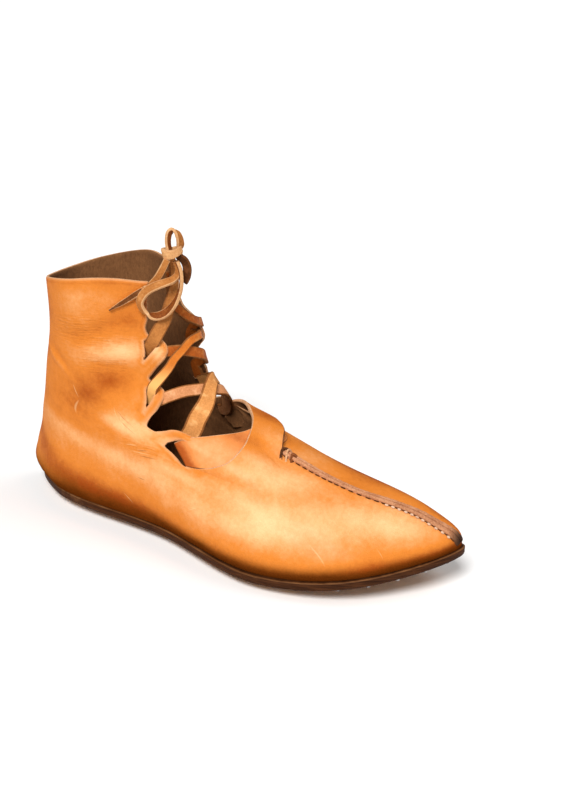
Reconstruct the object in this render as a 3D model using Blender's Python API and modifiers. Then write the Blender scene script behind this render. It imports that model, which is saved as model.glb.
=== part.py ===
"""Right ankle boot of the Roman kind, in tan leather: a one-piece upper with a raised toe seam and two
straps that cross on the instep, a leather sole with iron hobnails, an insole and a leather lace.

+X runs to the toe, +Y to the medial side, +Z up. The boot stands on the flat tips of its hobnails.
Tables and functions work in millimetres; only the meshes are in metres.
"""
import math

import bmesh
import bpy
import numpy as np
from mathutils import Vector

MM = 0.001
BOOT = "roman_boot"

# Driving sizes in millimetres
TOE = 290.0
NAIL_HEIGHT = 5.0
SOLE_THICKNESS = 5.0
INSOLE_THICKNESS = 2.5
WALL = 2.4
GAP = 0.3
TOE_SPRING = 15.0
SPRING_FROM = 185.0
COLLAR = 159.0
COLLAR_DIP = 13.0
DIP_FROM = 70.0
SOLE_TOP = NAIL_HEIGHT + SOLE_THICKNESS

# Where a ring's anchors lie, as shares of its length from back to front and of its half width
HEEL_AT = 0.09
WAIST_AT = 0.40
BALL_AT = 0.67
SHOULDER_AT = 0.87
LATERAL_SHOULDER = 0.74
MEDIAL_SHOULDER = 0.80
BACK_SIDE = 1.5
RING_SAMPLES = 24
BACK_ANCHOR = 5

# The last: one level ring a row, with how far it reaches back, front and to each side
RING_COLUMNS = ("height", "back", "front", "ridge", "lateral_ball", "lateral_waist", "lateral_heel",
                "medial_heel", "medial_waist", "medial_ball")
RINGS = np.array([
    (10, 0.0, 288, 22.0, 51.5, 33.5, 22.0, 25.0, 22.0, 34.5),
    (18, -5.0, 287, 21.5, 53.0, 37.5, 26.0, 28.0, 27.0, 36.5),
    (30, -3.0, 274, 20.0, 49.5, 39.5, 26.5, 28.0, 31.0, 37.5),
    (44, 0.8, 251, 15.5, 43.0, 39.0, 25.0, 26.5, 34.0, 36.0),
    (58, 3.4, 208, 10.5, 37.0, 38.0, 24.0, 25.0, 35.5, 33.5),
    (74, 7.5, 158, 6.0, 32.5, 37.5, 23.0, 23.5, 36.0, 31.0),
    (94, 11.0, 132, 4.0, 29.0, 37.5, 22.5, 23.0, 36.0, 28.5),
    (118, 15.5, 121, 2.0, 27.0, 37.5, 23.0, 23.0, 36.5, 26.5),
    (159, 15.5, 110, 1.0, 27.5, 39.0, 24.0, 24.0, 38.0, 27.0)])
SOLE_RING = np.array([0.0, TOE, 22.5, 54.5, 35.0, 22.5, 28.0, 23.5, 37.5])

# Grid of the upper's loft
UPPER_HEIGHTS = (SOLE_TOP + GAP, 14, 18, 24, 31, 38, 45, 52, 59, 66, 74, 83, 94, 106, 118, 131, 145, COLLAR)
UPPER_SIDE_STEPS = 27
END_CROWDING = 0.09

# Throat: its edges, as distances round the ring from the crest, with two loop tabs on each side
THROAT_COLUMNS = ("height", "lateral_edge", "medial_edge")
THROAT = np.array([
    (70.4, 44.0, 41.0), (73, 69.5, 64.5), (78.6, 60.8, 56.5), (85.6, 46.4, 43.2), (92.1, 38.2, 35.5), (95.5, 36.2, 33.7),
    (98.6, 40.6, 37.8), (100.6, 41.8, 38.9), (108.7, 32.3, 30.0), (114.9, 25.5, 23.7), (119.5, 23.3, 21.7),
    (124.5, 25.0, 24.0), (127.2, 32.8, 29.5), (133, 32.0, 37.0), (140, 30.2, 37.5), (150, 28.0, 36.5),
    (166, 24.5, 35.0)])
MEDIAL_SHARE = 0.93
CUT_REACH = 9.0

# Slots behind the three loops of each side, from their lower to their upper end
SLOT_COLUMNS = ("low_height", "low_edge", "high_height", "high_edge", "width")
SLOTS = np.array([
    (57.6, 93.5, 68.5, 72.5, 9.0),
    (81.5, 60.0, 94.4, 45.4, 4.4),
    (110.5, 40.8, 123.4, 34.0, 4.4)])

# Bands that lie on the upper; each row holds both edges (a, b) and the lifts of floor and roof there
BAND_COLUMNS = ("height_a", "round_a", "height_b", "round_b", "floor_a", "roof_a", "floor_b", "roof_b")
UNDER_STRAP = np.array([
    (67.9, -69, 56.9, -94, -1.2, 0.9, -1.2, 0.9),
    (70.0, -58, 57.2, -86, -1.2, 1.2, -1.2, 1.2),
    (72.2, -42, 58.6, -69, -1.2, 1.2, -1.2, 1.2),
    (73.2, -15, 64.5, -38, -1.2, 1.2, -1.2, 1.0),
    (74.0, 0, 68.4, -12, -1.2, 0.9, -1.2, 0.9),
    (74.2, 18, 71.4, 14, -1.2, 0.9, -1.2, 0.9)])
OVER_STRAP = np.array([
    (58.5, -78, 51.6, -53, -0.8, 1.8, -1.4, -0.6),
    (62.0, -55, 55.6, -38, -0.7, 3.0, -1.4, -0.4),
    (67.4, -30, 59.5, -28, -0.5, 3.1, -1.4, -0.2),
    (73.2, -9, 65.5, -11, -0.4, 2.9, 0.2, 4.2),
    (78.0, 8, 68.8, 7, -0.4, 2.7, 1.6, 5.5),
    (76.2, 32, 67.6, 30, -0.6, 1.7, -0.6, 2.9),
    (70.0, 58, 60.5, 68, -1.0, 1.6, -1.2, 1.8),
    (66.4, 68, 56.8, 85, -1.2, 1.3, -1.2, 1.3)])
STRAP_STEPS = 16
STRAP_ACROSS = 5

# Toe seam: two raw edges side by side, from the instep down to the toe
SEAM_COLUMNS = ("height", "round", "lift")
SEAM = np.array([
    (66, -12, 2.8), (60, -14.8, 3.0), (53.6, -16.5, 3.0), (47.7, -17.1, 2.9), (41.6, -14.6, 2.8),
    (35, -12.2, 2.6), (27.3, -11.7, 2.3), (20.4, -10.3, 2.0), (15, -8.6, 1.6)])
SEAM_WIDTH = 4.6
SEAM_STEPS = 18
SEAM_FLOOR = -1.2

# Lace bars across the throat: each row is a place on the skin, the bar's lift over it and its width
LACE_THICKNESS = 2.0
LACE_STEPS = 18
LACE_COLUMNS = ("height", "round", "lift", "width")
LACE_BARS = {
    "lace_low_up": np.array([
        (70, -50, -8.0, 12), (75.4, -40.5, -6.0, 12), (80.7, -28.5, -2.2, 11.5), (86.8, -17.8, 0.6, 10.5),
        (93, -10, 1.4, 9), (98.8, -3.8, 1.8, 7.8), (101.5, 8, 1.8, 7.5), (98.5, 30, 1.6, 7), (94, 42, 1.3, 7)]),
    "lace_low_down": np.array([
        (91, -35, -2.4, 7.2), (93, -28, -0.6, 7.3), (94.6, -17, 0.0, 7.3), (92.1, 0.5, 0.0, 7.3),
        (88.4, 11, -0.2, 7.5), (84, 21, -2.0, 8), (76, 39, -6.6, 8), (70, 47, -7.2, 8)]),
    "lace_high_up": np.array([
        (91, -45, 1.4, 7), (96.4, -40.8, 1.5, 7), (103.8, -31.4, 1.6, 6.4), (113.2, -22.3, 1.7, 5.6),
        (118.6, -15.2, 1.7, 5.5), (123.4, -8.7, 1.5, 5.5), (125, 10, 1.3, 5.5), (121, 26, 1.3, 5.5)]),
    "lace_high_down": np.array([
        (118.5, -21, 0.0, 6.6), (117.5, -13.7, 0.3, 6.6), (112.5, 2, 0.6, 6.6), (104, 26, 1.8, 6.6),
        (96.5, 40, 2.5, 6.6)]),
    "lace_top_lateral": np.array([
        (117, -36, 1.4, 8), (124, -28.8, 1.4, 8.4), (130.7, -24, 0.8, 8.4), (137, -20.3, 0.2, 8),
        (148, -16, -0.8, 6.5), (165, -11.5, -2.6, 5), (177, -12.5, -2.1, 4.8)]),
    "lace_top_medial": np.array([
        (119, 28, 2.0, 5.5), (124.6, 26.5, 0.8, 5.5), (131, 22, -3.0, 5.5), (143, 12, -7.5, 5.2),
        (155, 0, -7.0, 5), (168, -8, -3.6, 5)])}

# Knot and bow: tubes through points in millimetres
CORD_DIAMETER = 4.4
KNOT_DIAMETER = 8.0
CORD_POINT_STEP = 5.0
CORDS = {
    "lace_knot": (KNOT_DIAMETER, ((104.5, -18.5, 176), (108.5, -14.5, 177.4), (112.5, -10.5, 178))),
    "bow_loop_upper": (CORD_DIAMETER, (
        (107.2, -15.8, 181.4), (106.4, -15.6, 186), (107.6, -13.8, 190), (110.2, -11, 190.4),
        (112.6, -9, 187), (112.2, -10.8, 182.4))),
    "bow_loop_lower": (CORD_DIAMETER, (
        (112.2, -11.5, 172.9), (113.6, -11.4, 166), (114.2, -11.8, 157), (112.2, -15.2, 148.2),
        (108.2, -20.5, 141), (103.8, -25.4, 139.4), (100, -29, 141.6), (98.3, -29.8, 148),
        (98.8, -28.6, 155), (103.4, -22.8, 161), (105.8, -18.6, 167), (106.5, -17, 171.6))),
    "lace_end_near": (CORD_DIAMETER, (
        (103.3, -19.7, 175.5), (98.6, -25.2, 169.6), (95, -28.4, 162.6), (92.8, -30.6, 156),
        (88.6, -33, 151), (82, -36, 147.4), (75, -38.4, 144.4))),
    "lace_end_far": (CORD_DIAMETER, (
        (114, -9, 177.8), (117, -6.8, 174), (118.6, -5.6, 168), (118.2, -6, 161)))}

# Hobnails: an even ring of them inside the sole's edge and a row down the middle
NAIL_INSET = 10.5
EDGE_NAILS = 34
MIDDLE_NAILS = 15
MIDDLE_FROM = 34.0
MIDDLE_TO = 256.0
MIDDLE_ZIGZAG = 0.10
NAIL_RADIUS = 3.3
NAIL_SHOULDER = 1.4
NAIL_TIP_RADIUS = 1.3
NAIL_SIDES = 10
NAIL_LEVEL_SLOPE = 0.03

OUTSOLE_SIDE_STEPS = 36
SOLE_ROUNDING = 0.7


# Curves and the last
def hermite(knots, values, at):
    """Smooth curve through values (one row a knot), with three-point slopes, read at the places given."""
    at = np.asarray(at, float)
    step = np.diff(knots)[:, None]
    rise = np.diff(values, axis=0) / step
    slope = np.empty_like(values, dtype=float)
    slope[1:-1] = (rise[:-1] * step[1:] + rise[1:] * step[:-1]) / (step[1:] + step[:-1])
    slope[0] = 1.5 * rise[0] - 0.5 * slope[1]
    slope[-1] = 1.5 * rise[-1] - 0.5 * slope[-2]
    index = np.clip(np.searchsorted(knots, at, side="right") - 1, 0, len(knots) - 2)
    return blend((at - knots[index])[:, None] / step[index], step[index], values[index], values[index + 1],
                 slope[index], slope[index + 1])


def blend(t, step, start, end, start_slope, end_slope):
    """Cubic from start to end with the slopes given, at share t of a span of length step."""
    return ((2 * t**3 - 3 * t**2 + 1) * start + (t**3 - 2 * t**2 + t) * step * start_slope
            + (3 * t**2 - 2 * t**3) * end + (t**3 - t**2) * step * end_slope)


def closed_curve(anchors):
    """Closed smooth curves through anchors (m, k, 2), RING_SAMPLES points a span, the first repeated."""
    around = np.concatenate([anchors[:, -1:], anchors, anchors[:, :2]], axis=1)
    step = np.linalg.norm(np.diff(around, axis=1), axis=2)[..., None] ** 0.75
    rise = np.diff(around, axis=1) / step
    slope = (rise[:, :-1] * step[:, 1:] + rise[:, 1:] * step[:, :-1]) / (step[:, 1:] + step[:, :-1])
    t = (np.arange(RING_SAMPLES) / RING_SAMPLES)[:, None]
    curve = blend(t, step[:, 1:-1, None], around[:, 1:-2, None], around[:, 2:-1, None],
                  slope[:, :-1, None], slope[:, 1:, None]).reshape(len(anchors), -1, 2)
    return np.concatenate([curve, curve[:, :1]], axis=1)


def ring_curve(sizes):
    """Outlines, seen from above, from rows of ring sizes: crest, lateral side, back, medial side, crest."""
    back, front, ridge, lat_ball, lat_waist, lat_heel, med_heel, med_waist, med_ball = sizes.T
    span = front - back
    lat_shoulder = ridge - LATERAL_SHOULDER * (ridge + lat_ball)
    med_shoulder = ridge + MEDIAL_SHOULDER * (med_ball - ridge)
    anchors = [(front, ridge),
               (back + SHOULDER_AT * span, lat_shoulder),
               (back + BALL_AT * span, -lat_ball),
               (back + WAIST_AT * span, -lat_waist),
               (back + HEEL_AT * span, -lat_heel),
               (back, np.full_like(back, BACK_SIDE)),
               (back + HEEL_AT * span, med_heel),
               (back + WAIST_AT * span, med_waist),
               (back + BALL_AT * span, med_ball),
               (back + SHOULDER_AT * span, med_shoulder)]
    return closed_curve(np.stack([np.stack(anchor, axis=-1) for anchor in anchors], axis=1))


def half_curves(curve):
    """The lateral and the medial half of closed outlines, both from the crest to the back."""
    back = BACK_ANCHOR * RING_SAMPLES
    return curve[:, :back + 1], curve[:, back:][:, ::-1]


def arc_length(curve):
    steps = np.linalg.norm(np.diff(curve, axis=-2), axis=-1)
    start = np.zeros(steps.shape[:-1] + (1,))
    return np.concatenate([start, np.cumsum(steps, axis=-1)], axis=-1)


def spring(x):
    """Rise of sole and upper towards the toe."""
    return TOE_SPRING * np.clip((x - SPRING_FROM) / (TOE - SPRING_FROM), 0, 1) ** 2


def smooth_step(t):
    t = np.clip(t, 0, 1)
    return t * t * (3 - 2 * t)


def on_last(height, distance):
    """Points of the last at ring heights, signed distances round the ring from the crest (- lateral)."""
    sizes = hermite(RINGS[:, 0], RINGS[:, 1:], np.minimum(height, COLLAR))
    halves = half_curves(ring_curve(sizes))
    points = np.empty((len(height), 3))
    for i, (level, away) in enumerate(zip(height, distance)):
        half = halves[0][i] if away <= 0 else halves[1][i]
        arc = arc_length(half)
        reach = min(abs(away), arc[-1])
        x = np.interp(reach, arc, half[:, 0])
        y = np.interp(reach, arc, half[:, 1])
        share = reach / arc[-1]
        low = COLLAR_DIP * smooth_step((share - 0.4) / 0.6)
        low = low * np.clip((level - DIP_FROM) / (COLLAR - DIP_FROM), 0, 1) ** 1.5
        points[i] = (x, y, level - low + spring(x))
    return points


def skin(height, distance, lift):
    """Points lifted off the last along its outward normal."""
    height, distance, lift = np.broadcast_arrays(height, distance, lift)
    shape = height.shape + (3,)
    h = height.ravel().astype(float)
    d = distance.ravel().astype(float)
    nudge = 0.4
    along = on_last(h, d + nudge) - on_last(h, d - nudge)
    upward = on_last(h + nudge, d) - on_last(h - nudge, d)
    normal = np.cross(along, upward)
    normal /= np.linalg.norm(normal, axis=1, keepdims=True)
    return (on_last(h, d) + lift.ravel()[:, None] * normal).reshape(shape)


def girths(height):
    """Length of the lateral and the medial half of the ring at one height."""
    sizes = hermite(RINGS[:, 0], RINGS[:, 1:], [height])
    return [arc_length(half)[0, -1] for half in half_curves(ring_curve(sizes))]


def crowded_steps(count):
    """Shares from 0 to 1, closer together at both ends, where the outline turns most."""
    t = np.linspace(0, 1, count + 1)
    return t - END_CROWDING * np.sin(2 * math.pi * t)


# Mesh makers
def make_material(name, colour, roughness, metallic):
    material = bpy.data.materials.new(name)
    material.use_nodes = True
    shader = material.node_tree.nodes["Principled BSDF"]
    shader.inputs["Base Color"].default_value = (*colour, 1)
    shader.inputs["Roughness"].default_value = roughness
    shader.inputs["Metallic"].default_value = metallic
    material.diffuse_color = (*colour, 1)
    return material


def add_object(name, mesh_data, collection, material):
    thing = bpy.data.objects.new(name, mesh_data)
    collection.objects.link(thing)
    thing.data.materials.append(material)
    return thing


def mesh_from(name, points, faces):
    """Mesh from points in millimetres, its faces turned outwards and shaded smooth."""
    mesh = bpy.data.meshes.new(name)
    mesh.from_pydata((np.asarray(points).reshape(-1, 3) * MM).tolist(), [], faces)
    tidy = bmesh.new()
    tidy.from_mesh(mesh)
    bmesh.ops.recalc_face_normals(tidy, faces=tidy.faces)
    tidy.to_mesh(mesh)
    tidy.free()
    mesh.shade_smooth()
    mesh.set_sharp_from_angle(angle=math.radians(40))
    return mesh


def ring_faces(rows, columns):
    """Quads of a tube of rows, each a closed ring of columns."""
    return [(r * columns + c, r * columns + (c + 1) % columns,
             (r + 1) * columns + (c + 1) % columns, (r + 1) * columns + c)
            for r in range(rows - 1) for c in range(columns)]


def ladder_faces(first, side_steps):
    """Cap of a ring by rungs from its lateral to its medial side; the crest point comes first."""
    columns = 2 * side_steps
    lateral = [first + i for i in range(side_steps + 1)]
    medial = [first + (columns - i) % columns for i in range(side_steps + 1)]
    rungs = [(lateral[i], lateral[i + 1], medial[i + 1], medial[i]) for i in range(1, side_steps - 1)]
    ends = [(lateral[0], lateral[1], medial[1]), (lateral[-2], lateral[-1], medial[-2])]
    return rungs + ends


def plate(name, outline, levels, side_steps):
    """Closed plate with the toe spring: outline rings at (inset, height) levels, capped by rungs."""
    rings = [np.column_stack([inset_outline(outline, inset), np.full(len(outline), height)])
             for inset, height in levels]
    points = np.concatenate(rings)
    points[:, 2] += spring(points[:, 0])
    columns = len(outline)
    faces = ring_faces(len(levels), columns)
    faces += ladder_faces(0, side_steps)
    faces += ladder_faces((len(levels) - 1) * columns, side_steps)
    return mesh_from(name, points, faces)


def inset_outline(outline, inset):
    """A closed outline moved inwards along its own normals."""
    tangent = np.roll(outline, -1, axis=0) - np.roll(outline, 1, axis=0)
    tangent /= np.linalg.norm(tangent, axis=1, keepdims=True)
    return outline + inset * np.column_stack([-tangent[:, 1], tangent[:, 0]]) * outline_turn(outline)


def outline_turn(outline):
    """+1 where the outline runs anticlockwise, seen from above, else -1."""
    after = np.roll(outline, -1, axis=0)
    return np.sign(np.sum(outline[:, 0] * after[:, 1] - after[:, 0] * outline[:, 1]))


def stepped_outline(sizes, side_steps):
    """Outline of one ring row as 2 x side_steps points, crest first, then lateral, back and medial."""
    shares = crowded_steps(side_steps)
    sides = []
    for half in half_curves(ring_curve(sizes[None])):
        arc = arc_length(half)[0]
        reach = shares * arc[-1]
        sides.append(np.column_stack([np.interp(reach, arc, half[0, :, 0]),
                                      np.interp(reach, arc, half[0, :, 1])]))
    return np.concatenate([sides[0], sides[1][-2:0:-1]])


def band(name, rows, steps, across):
    """Closed band on the skin: rows of two edges and four lifts, smooth along, straight across."""
    knots = np.arange(len(rows), dtype=float)
    path = hermite(knots, rows, np.linspace(0, knots[-1], steps + 1))
    side = np.linspace(0, 1, across + 1)
    height_a, round_a, height_b, round_b, floor_a, roof_a, floor_b, roof_b = path.T[:, :, None]
    height = height_a + side * (height_b - height_a)
    distance = round_a + side * (round_b - round_a)
    roof = skin(height, distance, roof_a + side * (roof_b - roof_a))
    floor = skin(height, distance, floor_a + side * (floor_b - floor_a))
    sections = np.concatenate([roof, floor[:, ::-1]], axis=1)
    columns = sections.shape[1]
    faces = ring_faces(len(sections), columns)
    for first in (0, (len(sections) - 1) * columns):
        faces += [(first + c, first + c + 1, first + columns - 2 - c, first + columns - 1 - c)
                  for c in range(across)]
    return mesh_from(name, sections, faces)


def strip_rows(path, width, floor, roof):
    """Band rows for a strip of the width given about a path of (height, round) places."""
    heading = np.gradient(path, axis=0)
    heading /= np.linalg.norm(heading, axis=1, keepdims=True)
    side = np.column_stack([-heading[:, 1], heading[:, 0]]) * width / 2
    return np.column_stack([path - side, path + side, floor, roof, floor, roof])


def ribbon(name, rows, steps):
    """Closed flat ribbon over the skin, smooth through its rows, its width square to its route."""
    knots = np.arange(len(rows), dtype=float)
    height, distance, lift, width = hermite(knots, rows, np.linspace(0, knots[-1], steps + 1)).T
    middle = skin(height, distance, lift + LACE_THICKNESS / 2)
    outward = skin(height, distance, np.ones(steps + 1)) - skin(height, distance, np.zeros(steps + 1))
    across = np.cross(outward, np.gradient(middle, axis=0))
    across *= (width / 2 / np.linalg.norm(across, axis=1))[:, None]
    through = outward * LACE_THICKNESS / 2
    sections = np.stack([middle - across + through, middle + across + through,
                         middle + across - through, middle - across - through], axis=1)
    last = 4 * steps
    faces = ring_faces(len(sections), 4) + [(0, 1, 2, 3), (last, last + 1, last + 2, last + 3)]
    return mesh_from(name, sections, faces)


def cut_rows(edges_a, edges_b):
    """Band rows for a cutter that reaches through the wall between two edges."""
    reach = np.full(len(edges_a), CUT_REACH)
    return np.column_stack([edges_a, edges_b, -reach, reach, -reach, reach])


def straight_band(name, rows, across):
    """A cutter band with straight runs between its rows."""
    fine = 2
    places = np.linspace(0, len(rows) - 1, fine * (len(rows) - 1) + 1)
    knots = np.arange(len(rows))
    straight = np.column_stack([np.interp(places, knots, column) for column in rows.T])
    return band(name, straight, len(straight) - 1, across)


# Pieces
def make_outsole(parts, leather):
    low = NAIL_HEIGHT
    levels = ((SOLE_ROUNDING, low), (0, low + SOLE_ROUNDING), (0, SOLE_TOP - SOLE_ROUNDING),
              (SOLE_ROUNDING, SOLE_TOP))
    outline = stepped_outline(SOLE_RING, OUTSOLE_SIDE_STEPS)
    return add_object("outsole", plate("outsole", outline, levels, OUTSOLE_SIDE_STEPS), parts, leather)


def make_insole(parts, leather):
    sizes = hermite(RINGS[:, 0], RINGS[:, 1:], [SOLE_TOP + GAP])[0]
    wall_on_the_level = 1.2 * WALL
    outline = inset_outline(stepped_outline(sizes, UPPER_SIDE_STEPS), wall_on_the_level + GAP)
    low = SOLE_TOP + GAP
    levels = ((0, low), (0, low + INSOLE_THICKNESS))
    return add_object("insole", plate("insole", outline, levels, UPPER_SIDE_STEPS), parts, leather)


def upper_loft():
    """Open tube of rings from the sole to the collar, on the outside of the wall."""
    shares = crowded_steps(UPPER_SIDE_STEPS)
    rows = []
    for level in UPPER_HEIGHTS:
        lateral, medial = girths(level)
        around = np.concatenate([-shares * lateral, shares[-2:0:-1] * medial])
        rows.append(on_last(np.full(len(around), level), around))
    columns = 2 * UPPER_SIDE_STEPS
    mesh = mesh_from("upper", np.concatenate(rows), ring_faces(len(rows), columns))
    if mesh.polygons[0].normal.dot(mesh.polygons[0].center - Vector((TOE * MM / 2, 0, 0))) < 0:
        mesh.flip_normals()
    return mesh


def add_boolean(target, tool, operation):
    joint = target.modifiers.new(tool.name, "BOOLEAN")
    joint.operation = operation
    joint.solver = "EXACT"
    joint.object = tool


def add_tool(mesh, tools, material):
    """A cutter, or a form to be joined to a piece."""
    tool = add_object(mesh.name, mesh, tools, material)
    tool.hide_render = True
    tool.display_type = "WIRE"
    return tool


def settle(thing):
    """Apply a piece's modifiers, and take out the points that only split an edge between two faces."""
    bpy.context.view_layer.update()
    mesh = bpy.data.meshes.new_from_object(thing.evaluated_get(bpy.context.evaluated_depsgraph_get()))
    tidy = bmesh.new()
    tidy.from_mesh(mesh)
    bmesh.ops.dissolve_verts(tidy, verts=[vert for vert in tidy.verts if len(vert.link_edges) == 2])
    tidy.to_mesh(mesh)
    tidy.free()
    mesh.name = thing.name
    thing.modifiers.clear()
    thing.data = mesh


def slot_mesh(name, slot, side):
    low_height, low_edge, high_height, high_edge, width = slot
    path = np.array([(low_height, side * low_edge), (high_height, side * high_edge)])
    lateral = path - (0, width / 2)
    medial = path + (0, width / 2)
    return straight_band(name, cut_rows(lateral, medial), 1)


def make_upper(parts, tools, leather):
    upper = add_object("upper", upper_loft(), parts, leather)
    wall = upper.modifiers.new("wall", "SOLIDIFY")
    wall.thickness = WALL * MM
    wall.offset = -1
    wall.use_even_offset = True
    lateral = THROAT[:, :2] * (1, -1)
    medial = THROAT[:, [0, 2]]
    throat = straight_band("throat_cutter", cut_rows(lateral, medial), 14)
    add_boolean(upper, add_tool(throat, tools, leather), "DIFFERENCE")
    for number, slot in enumerate(SLOTS, start=1):
        for side, label in ((-1, "lateral"), (MEDIAL_SHARE, "medial")):
            cutter = slot_mesh(f"slot_{number}_{label}_cutter", slot, side)
            add_boolean(upper, add_tool(cutter, tools, leather), "DIFFERENCE")
    seam_floor = np.full(len(SEAM), SEAM_FLOOR)
    seam = band("toe_seam_form", strip_rows(SEAM[:, :2], SEAM_WIDTH, seam_floor, SEAM[:, 2]), SEAM_STEPS, 2)
    under = band("under_strap_form", UNDER_STRAP, STRAP_STEPS, STRAP_ACROSS)
    over = band("over_strap_form", OVER_STRAP, STRAP_STEPS, STRAP_ACROSS)
    for form in (seam, under, over):
        add_boolean(upper, add_tool(form, tools, leather), "UNION")
    settle(upper)
    return upper


def make_lace_bars(parts, tools, leather):
    """The lace across the throat, its bars joined where they cross and where they turn back."""
    bars = [ribbon(name + "_form", rows, LACE_STEPS) for name, rows in LACE_BARS.items()]
    lace = add_object("lace_crossings", bars[0], parts, leather)
    for form in bars[1:]:
        add_boolean(lace, add_tool(form, tools, leather), "UNION")
    settle(lace)
    return lace


def make_cord(name, diameter, points, parts, leather):
    """A tube along a smooth curve through the points."""
    points = np.array(points, float)
    arc = arc_length(points)
    count = max(4, int(round(arc[-1] / CORD_POINT_STEP)) + 1)
    path = hermite(arc, points, np.linspace(0, arc[-1], count))
    curve = bpy.data.curves.new(name, "CURVE")
    curve.dimensions = "3D"
    curve.bevel_depth = diameter / 2 * MM
    curve.bevel_resolution = 2
    curve.use_fill_caps = True
    spline = curve.splines.new("POLY")
    spline.points.add(count - 1)
    for point, place in zip(spline.points, path * MM):
        point.co = (*place, 1)
    return add_object(name, curve, parts, leather)


def nail_places():
    """Hobnail centres: an even ring inside the sole's edge, then a zigzag row down the middle."""
    outline = stepped_outline(SOLE_RING, OUTSOLE_SIDE_STEPS)
    edge = inset_outline(outline, NAIL_INSET)
    edge = np.concatenate([edge, edge[:1]])
    arc = arc_length(edge)
    reach = np.arange(EDGE_NAILS) * arc[-1] / EDGE_NAILS
    places = [(np.interp(r, arc, edge[:, 0]), np.interp(r, arc, edge[:, 1])) for r in reach]
    lateral = edge[:OUTSOLE_SIDE_STEPS + 1][::-1]
    medial = edge[OUTSOLE_SIDE_STEPS:]
    for number, x in enumerate(np.linspace(MIDDLE_FROM, MIDDLE_TO, MIDDLE_NAILS)):
        low = np.interp(x, lateral[:, 0], lateral[:, 1])
        high = np.interp(x, medial[:, 0], medial[:, 1])
        swing = MIDDLE_ZIGZAG * (-1) ** number
        places.append((x, low + (0.5 + swing) * (high - low)))
    return places


def nail_mesh():
    """Blunt cone from its flat tip at the bottom to its base under the sole, about the middle of its base."""
    head = bmesh.new()
    shank = NAIL_HEIGHT - GAP - NAIL_SHOULDER
    cone = bmesh.ops.create_cone(head, cap_ends=True, segments=NAIL_SIDES, radius1=NAIL_TIP_RADIUS * MM,
                                 radius2=NAIL_RADIUS * MM, depth=shank * MM)
    bmesh.ops.translate(head, verts=cone["verts"], vec=(0, 0, -(shank / 2 + NAIL_SHOULDER) * MM))
    base = [face for face in head.faces if face.normal.z > 0.9]
    grown = bmesh.ops.extrude_face_region(head, geom=base)
    raised = [item for item in grown["geom"] if isinstance(item, bmesh.types.BMVert)]
    bmesh.ops.translate(head, verts=raised, vec=(0, 0, NAIL_SHOULDER * MM))
    bmesh.ops.delete(head, geom=base, context="FACES_ONLY")
    bmesh.ops.recalc_face_normals(head, faces=head.faces)
    mesh = bpy.data.meshes.new("hobnail")
    head.to_mesh(mesh)
    head.free()
    mesh.shade_smooth()
    mesh.set_sharp_from_angle(angle=math.radians(40))
    return mesh


def make_hobnails(parts, steel):
    mesh = nail_mesh()
    mesh.materials.append(steel)
    for number, (x, y) in enumerate(nail_places(), start=1):
        nail = bpy.data.objects.new(f"hobnail_{number:02d}", mesh)
        nail.location = (x * MM, y * MM, (NAIL_HEIGHT - GAP + float(spring(x))) * MM)
        slope = (float(spring(x + 1)) - float(spring(x - 1))) / 2
        nail.rotation_euler = (0, -math.atan(slope) if slope > NAIL_LEVEL_SLOPE else 0, 0)
        parts.objects.link(nail)


def centre_on_origin(things, still):
    """Move every piece so that the boot's box, without the free lace, is centred over the origin."""
    bpy.context.view_layer.update()
    graph = bpy.context.evaluated_depsgraph_get()
    corners = []
    for thing in things:
        if thing.name not in still:
            shaped = thing.evaluated_get(graph)
            corners += [shaped.matrix_world @ Vector(corner) for corner in shaped.bound_box]
    low = np.min(corners, axis=0)
    high = np.max(corners, axis=0)
    root = bpy.data.objects.new("boot_place", None)
    bpy.context.scene.collection.objects.link(root)
    root.location = (-(low[0] + high[0]) / 2, -(low[1] + high[1]) / 2, -low[2])
    for thing in bpy.data.objects:
        if thing is not root:
            thing.parent = root


def main():
    for thing in list(bpy.data.objects):
        bpy.data.objects.remove(thing)
    parts = bpy.data.collections.new(BOOT)
    tools = bpy.data.collections.new(BOOT + "_tools")
    for collection in (parts, tools):
        bpy.context.scene.collection.children.link(collection)
    tan = make_material("tan_leather", (0.62, 0.28, 0.085), 0.45, 0)
    brown = make_material("sole_leather", (0.17, 0.075, 0.03), 0.55, 0)
    pale = make_material("lace_leather", (0.50, 0.27, 0.12), 0.6, 0)
    lining = make_material("insole_leather", (0.45, 0.27, 0.14), 0.7, 0)
    steel = make_material("nail_iron", (0.42, 0.42, 0.43), 0.35, 1)
    make_outsole(parts, brown)
    make_insole(parts, lining)
    make_upper(parts, tools, tan)
    make_lace_bars(parts, tools, pale)
    for name, (diameter, points) in CORDS.items():
        make_cord(name, diameter, points, parts, pale)
    make_hobnails(parts, steel)
    for tool in list(tools.objects):
        bpy.data.objects.remove(tool)
    centre_on_origin(parts.objects, CORDS)


main()
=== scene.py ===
# %% [markdown]
# # Dressing a Roman boot
# The boot is a right ankle boot cut from one piece of tan leather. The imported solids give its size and
# its form; this lesson lays fine surfaces over them and finishes each one as leather, thong or iron.
# Every surface is a formula on a grid of two numbers, so a size that changes here changes everywhere.

import math

import bpy
import numpy as np
from mathutils import Matrix


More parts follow.
